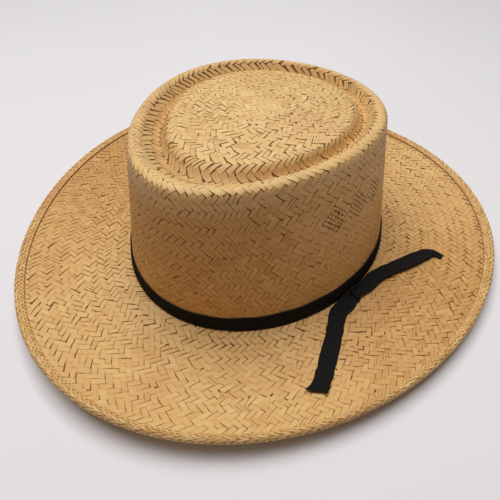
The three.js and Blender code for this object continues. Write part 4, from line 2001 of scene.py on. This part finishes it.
@dataclass(frozen=True)
class PalmStraw:
    """Split palm leaf, dried and woven: satin, with fine lengthwise fibres and uneven golden tans.

    Attributes:
        name: What the finish is.
        tones: Leaf colours from the darkest strand to the palest.
        blush: Reddish tan of the leaf's less bleached patches.
        crown: Pale yellow mixed in with height, used for the tip.
        shadow: Painted shade: brown put on the floats' cut sides and edges, where they lie deep.
        fibre: Distance between the leaf's veins in millimetres, drawn coarser than the real 0.2 mm.
        fibre_stretch: How much slower they change along the leaf than across it.
        streak: How far they lighten and darken the shade.
        patch: Size of the less bleached patches, in millimetres.
        crown_range: Heights between which the leaf turns to the tip's colour, in millimetres.
        edge_range: Nearness to the edge between which the painted shade comes in, above 1 on the cut sides.
        roughness: Of the dry leaf, which is satin.
        roughness_range: What the veins take from it and add to it.
    """

    name: str = "palm_leaf_split_and_woven"
    tones: tuple[str, ...] = ("#B98848", "#CFA163", "#D9AF70", "#E2BC80", "#E8C68C")
    blush: str = "#CB935F"
    crown: str = "#EBD3A0"
    shadow: str = "#6E4520"
    fibre: float = 0.45
    fibre_stretch: float = 0.12
    streak: float = 0.17
    patch: float = 38.46
    patch_share: float = 0.4
    crown_range: tuple[float, float] = (84, 94)
    crown_share: float = 0.22
    edge_range: tuple[float, float] = (0.86, 1.5)
    edge_share: float = 0.85
    vein_depth: float = 0.06
    roughness: float = 0.56
    roughness_range: tuple[float, float] = (0.08, 0.1)
    specular: float = 0.35

    def material(self) -> bpy.types.Material:
        """Builds the material.

        Returns:
            The material.
        """
        material, tree, shader = new_material(self.name)
        strip = add_node(tree, "ShaderNodeUVMap", uv_map="strip")
        scale = (self.fibre_stretch / self.fibre, 1 / self.fibre, 1)
        veins = add_node(tree, "ShaderNodeMapping", {"Vector": strip.outputs["UV"], "Scale": scale})
        fibre = add_node(tree, "ShaderNodeTexNoise", {
            "Vector": veins.outputs["Vector"], "Scale": 1.0, "Detail": 3.0,
        })
        tone = add_node(tree, "ShaderNodeAttribute", attribute_name="tone")
        streak = add_node(tree, "ShaderNodeMapRange", {
            "Value": fibre.outputs["Fac"], "From Min": 0.3, "From Max": 0.7, "To Min": -self.streak,
            "To Max": self.streak,
        })
        shade = add_node(tree, "ShaderNodeMath", {
            0: tone.outputs["Fac"], 1: streak.outputs["Result"],
        }, operation="ADD")
        ramp = add_node(tree, "ShaderNodeValToRGB", {"Fac": shade.outputs["Value"]})
        places = (0.0, 0.28, 0.5, 0.75, 1.0)
        fill_ramp(ramp, tuple(zip(places, self.tones)))
        place = add_node(tree, "ShaderNodeTexCoord")
        patches = add_node(tree, "ShaderNodeTexNoise", {
            "Vector": place.outputs["Object"], "Scale": 1 / (self.patch * MM), "Detail": 2.0,
        })
        patched = add_node(tree, "ShaderNodeMapRange", {
            "Value": patches.outputs["Fac"], "From Min": 0.5, "From Max": 0.72,
            "To Max": self.patch_share,
        })
        blushed = add_node(tree, "ShaderNodeMix", {
            "Factor": patched.outputs["Result"], "A": ramp.outputs["Color"], "B": linear(self.blush),
        }, data_type="RGBA")
        split = add_node(tree, "ShaderNodeSeparateXYZ", {"Vector": place.outputs["Object"]})
        high = add_node(tree, "ShaderNodeMapRange", {
            "Value": split.outputs["Z"], "From Min": self.crown_range[0] * MM,
            "From Max": self.crown_range[1] * MM, "To Max": self.crown_share,
        })
        crowned = add_node(tree, "ShaderNodeMix", {
            "Factor": high.outputs["Result"], "A": blushed.outputs["Result"], "B": linear(self.crown),
        }, data_type="RGBA")
        # Painted shade on the floats' edges and cut sides, read from their nearness to the edge.
        rim = add_node(tree, "ShaderNodeAttribute", attribute_name="rim")
        depth = add_node(tree, "ShaderNodeMapRange", {
            "Value": rim.outputs["Fac"], "From Min": self.edge_range[0],
            "From Max": self.edge_range[1], "To Max": self.edge_share,
        })
        edged = add_node(tree, "ShaderNodeMix", {
            "Factor": depth.outputs["Result"], "A": crowned.outputs["Result"],
            "B": linear(self.shadow),
        }, data_type="RGBA")
        bump = add_node(tree, "ShaderNodeBump", {
            "Height": fibre.outputs["Fac"], "Strength": 0.5, "Distance": self.vein_depth * MM,
        })
        gloss = add_node(tree, "ShaderNodeMapRange", {
            "Value": fibre.outputs["Fac"], "To Min": self.roughness - self.roughness_range[0],
            "To Max": self.roughness + self.roughness_range[1],
        })
        tree.links.new(edged.outputs["Result"], shader.inputs["Base Color"])
        tree.links.new(gloss.outputs["Result"], shader.inputs["Roughness"])
        tree.links.new(bump.outputs["Normal"], shader.inputs["Normal"])
        shader.inputs["Specular IOR Level"].default_value = self.specular
        return material


@dataclass(frozen=True)
class BlotchedFinish:
    """A dull surface in two shades that run into one another in soft blotches.

    Attributes:
        name: What the finish is.
        shades: The two shades.
        stops: Where they begin among the blotches' values.
        grain: Size of the blotches, in millimetres.
        roughness: Of the surface.
        ior: Of its material.
    """

    name: str
    shades: tuple[str, str]
    stops: tuple[float, float]
    grain: float
    roughness: float
    ior: float

    def material(self) -> bpy.types.Material:
        """Builds the material.

        Returns:
            The material.
        """
        material, tree, shader = new_material(self.name)
        place = add_node(tree, "ShaderNodeTexCoord")
        noise = add_node(tree, "ShaderNodeTexNoise", {
            "Vector": place.outputs["Object"], "Scale": 1 / (self.grain * MM), "Detail": 2.0,
        })
        ramp = add_node(tree, "ShaderNodeValToRGB", {"Fac": noise.outputs["Fac"]})
        fill_ramp(ramp, tuple(zip(self.stops, self.shades)))
        tree.links.new(ramp.outputs["Color"], shader.inputs["Base Color"])
        shader.inputs["Roughness"].default_value = self.roughness
        shader.inputs["IOR"].default_value = self.ior
        return material


@dataclass(frozen=True)
class StrawBacking(BlotchedFinish):
    """The undersides of the crossing strands, seen only through the slits: dull brown leaf, drawn dark as
    painted shade for the deep gaps.
    """

    name: str = "palm_leaf_underlay_painted_shade"
    shades: tuple[str, str] = ("#4A2C12", "#8A5E2E")
    stops: tuple[float, float] = (0.35, 0.65)
    grain: float = 2.4
    roughness: float = 0.8
    ior: float = 1.45


@dataclass(frozen=True)
class StudioPaper(BlotchedFinish):
    """The pale sweep that the hat lies on: uncoated matt paper with a barely uneven tone."""

    name: str = "matt_paper_sweep"
    shades: tuple[str, str] = ("#E7E6EA", "#E1E0E5")
    stops: tuple[float, float] = (0.3, 0.7)
    grain: float = 625
    roughness: float = 0.9
    ior: float = 1.5


@dataclass(frozen=True)
class Grosgrain:
    """Rayon grosgrain, woven with thick cross ribs and dyed black: matt, with greyer yarns in streaks,
    partly their fluff and partly painted sheen.

    Attributes:
        name: What the finish is.
        dark: The dyed yarn.
        fluff_sheen: The greyer yarn: partly its own fluff, partly painted sheen where light would catch it.
        yarn: Distance between the warp yarns in millimetres, drawn coarser than the real 0.25 mm.
        yarn_stretch: How much slower they change along the ribbon than across it.
        roughness: Of the cloth, which is matt.
    """

    name: str = "rayon_grosgrain_dyed_black"
    dark: str = "#0A0A0B"
    fluff_sheen: str = "#242322"
    yarn: float = 0.5
    yarn_stretch: float = 0.3
    yarn_depth: float = 0.08
    roughness: float = 0.8
    specular: float = 0.12

    def material(self) -> bpy.types.Material:
        """Builds the material.

        Returns:
            The material.
        """
        material, tree, shader = new_material(self.name)
        strip = add_node(tree, "ShaderNodeUVMap", uv_map="strip")
        scale = (self.yarn_stretch / self.yarn, 1 / self.yarn, 1)
        yarns = add_node(tree, "ShaderNodeMapping", {"Vector": strip.outputs["UV"], "Scale": scale})
        noise = add_node(tree, "ShaderNodeTexNoise", {
            "Vector": yarns.outputs["Vector"], "Scale": 1.0, "Detail": 4.0,
        })
        ramp = add_node(tree, "ShaderNodeValToRGB", {"Fac": noise.outputs["Fac"]})
        fill_ramp(ramp, ((0.35, self.dark), (0.75, self.fluff_sheen)))
        bump = add_node(tree, "ShaderNodeBump", {
            "Height": noise.outputs["Fac"], "Strength": 0.6, "Distance": self.yarn_depth * MM,
        })
        tree.links.new(ramp.outputs["Color"], shader.inputs["Base Color"])
        tree.links.new(bump.outputs["Normal"], shader.inputs["Normal"])
        shader.inputs["Roughness"].default_value = self.roughness
        shader.inputs["Specular IOR Level"].default_value = self.specular
        return material


@dataclass(frozen=True)
class Studio:
    """Floor, light and camera.

    The camera's sizes are millimetres and degrees, worked out from the hat's outlines, and those of the
    floor and the light are metres.
    """

    target: tuple[float, float, float] = (8.9, -23.5, 2.4)
    distance: float = 351.8
    elevation: float = 44.36
    azimuth: float = 27.75
    roll: float = 0.66
    lens: float = 36
    sensor: float = 36
    nearest: float = 10
    floor_size: float = 16
    key_power: float = 24.0
    key_size: float = 1.2
    key_place: tuple[float, float, float] = (-0.22, 0.05, 1.5)
    fill_strength: float = 0.16
    fill_colour: str = "#FFEDD6"

    def camera(self) -> None:
        """Sets up the camera at the photograph's angle."""
        turn = math.radians(self.azimuth)
        rise = math.radians(self.elevation)
        level = Vector((math.sin(turn), -math.cos(turn), 0))
        back = level * math.cos(rise) + Vector((0, 0, math.sin(rise)))
        right = Vector((math.cos(turn), math.sin(turn), 0))
        up = back.cross(right)
        roll = math.radians(self.roll)
        rolled_right = right * math.cos(roll) + up * math.sin(roll)
        rolled_up = up * math.cos(roll) - right * math.sin(roll)
        data = bpy.data.cameras.new("camera")
        data.lens = self.lens
        data.sensor_width = self.sensor
        data.clip_start = self.nearest * MM
        obj = bpy.data.objects.new("camera", data)
        bpy.context.scene.collection.objects.link(obj)
        place = (Vector(self.target) + back * self.distance) * MM
        turned = Matrix((rolled_right, rolled_up, back)).transposed()
        obj.matrix_world = Matrix.Translation(place) @ turned.to_4x4()
        bpy.context.scene.camera = obj

    def floor(self) -> None:
        """Lays the floor."""
        deselect_all()
        bpy.ops.mesh.primitive_plane_add(size=self.floor_size)
        obj = bpy.context.object
        obj.name = "floor"
        obj.data.materials.append(StudioPaper().material())

    def lights(self) -> None:
        """Hangs the wide soft light over the back of the hat and sets the even fill."""
        data = bpy.data.lights.new("overhead_softbox", "AREA")
        data.shape = "SQUARE"
        data.size = self.key_size
        data.energy = self.key_power
        obj = bpy.data.objects.new("overhead_softbox", data)
        bpy.context.scene.collection.objects.link(obj)
        obj.location = self.key_place
        obj.rotation_euler = (-Vector(self.key_place)).to_track_quat("-Z", "Y").to_euler()
        obj.visible_camera = False
        world = bpy.data.worlds.new("fill")
        world.use_nodes = True
        background = world.node_tree.nodes["Background"]
        background.inputs["Color"].default_value = linear(self.fill_colour)
        background.inputs["Strength"].default_value = self.fill_strength
        bpy.context.scene.world = world
        bpy.context.scene.view_settings.view_transform = "Standard"

    def build(self) -> None:
        """Makes the whole stage."""
        self.camera()
        self.floor()
        self.lights()


def dress(obj: bpy.types.Object, material: bpy.types.Material, slot: str, *nodes: str) -> bpy.types.Object:
    """Gives a piece its finish and its place in the model.

    Args:
        obj: The piece.
        material: Its finish.
        slot: The record's material slot; not used.
        nodes: The solids that it stands for.

    Returns:
        The piece.
    """
    obj.data.materials.clear()
    obj.data.materials.append(material)
    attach(obj, BODY)
    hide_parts(*nodes)
    LOG.info("%s: %d faces", obj.name, len(obj.data.polygons))
    return obj


def build_straw(form: HatForm) -> None:
    """Weaves the crown and the brim.

    Args:
        form: The hat's form.
    """
    surface = woven_face(form)
    weave = StrawWeave(form, surface)
    plan = TwillPlan(surface).courses()
    fine = FloatPattern.model(5, 2)
    coarse = FloatPattern.model(4, 2)
    leaf = PalmStraw().material()
    dress(weave.backing(), StrawBacking().material(), "straw", "hat_body")
    faces = (
        ("twill_crown_outside", Face.OUTSIDE, True, fine, 3),
        ("twill_brim_outside", Face.OUTSIDE, False, fine, 5),
        ("twill_crown_inside", Face.INSIDE, True, coarse, 7),
        ("twill_brim_inside", Face.INSIDE, False, coarse, 9),
    )
    for name, face, inner, pattern, seed in faces:
        weaver = weave.lay_face(face, inner, plan, pattern, seed)
        if inner and face is Face.OUTSIDE:
            weave.lay_tip(weaver, pattern)
            weave.lay_patch(weaver, pattern)
        dress(weaver.draft.build(name), leaf, "straw", "hat_body")


def build_hem(form: HatForm) -> None:
    """Folds and plaits the hem.

    Args:
        form: The hat's form.
    """
    hem = BrimHem(form)
    face = hem.face()
    tones = ("#B58648", "#CB9D60", "#D6AC6E", "#E0BA7E", "#E8C68C")
    leaf = PalmStraw(name="palm_leaf_plaited_hem", tones=tones)
    # The folded strip is drawn darker than the plait, as painted shade in the gaps between its floats and
    # at the hem's border.
    strip = StrawBacking(name="palm_leaf_folded_strip", shades=("#A06E38", "#C2925A"))
    dress(hem.base(face), strip.material(), "hem", "brim_hem")
    dress(hem.plait(face, FloatPattern.model(6, 3)), leaf.material(), "hem", "brim_hem")


def build_ribbon(form: HatForm) -> None:
    """Makes the ribbon's band and its two ends.

    Args:
        form: The hat's form.
    """
    ribbon = Ribbon(form)
    cloth = Grosgrain().material()
    band = dress(ribbon.band(), cloth, "ribbon", "ribbon_band")
    around = ribbon.around()
    for end in (FRONT_END, BACK_END):
        tail, length = ribbon.tail(end)
        dress(tail, cloth, "ribbon", end.solid)
        LOG.info("%s is %.1f mm long", end.name, length)


def main() -> None:
    """Builds the hat and its stage."""
    logging.basicConfig(level=logging.INFO, format="%(name)s: %(message)s")
    form = HatForm()
    Studio().build()
    build_straw(form)
    build_hem(form)
    build_ribbon(form)


if __name__ == "__main__":
    main()
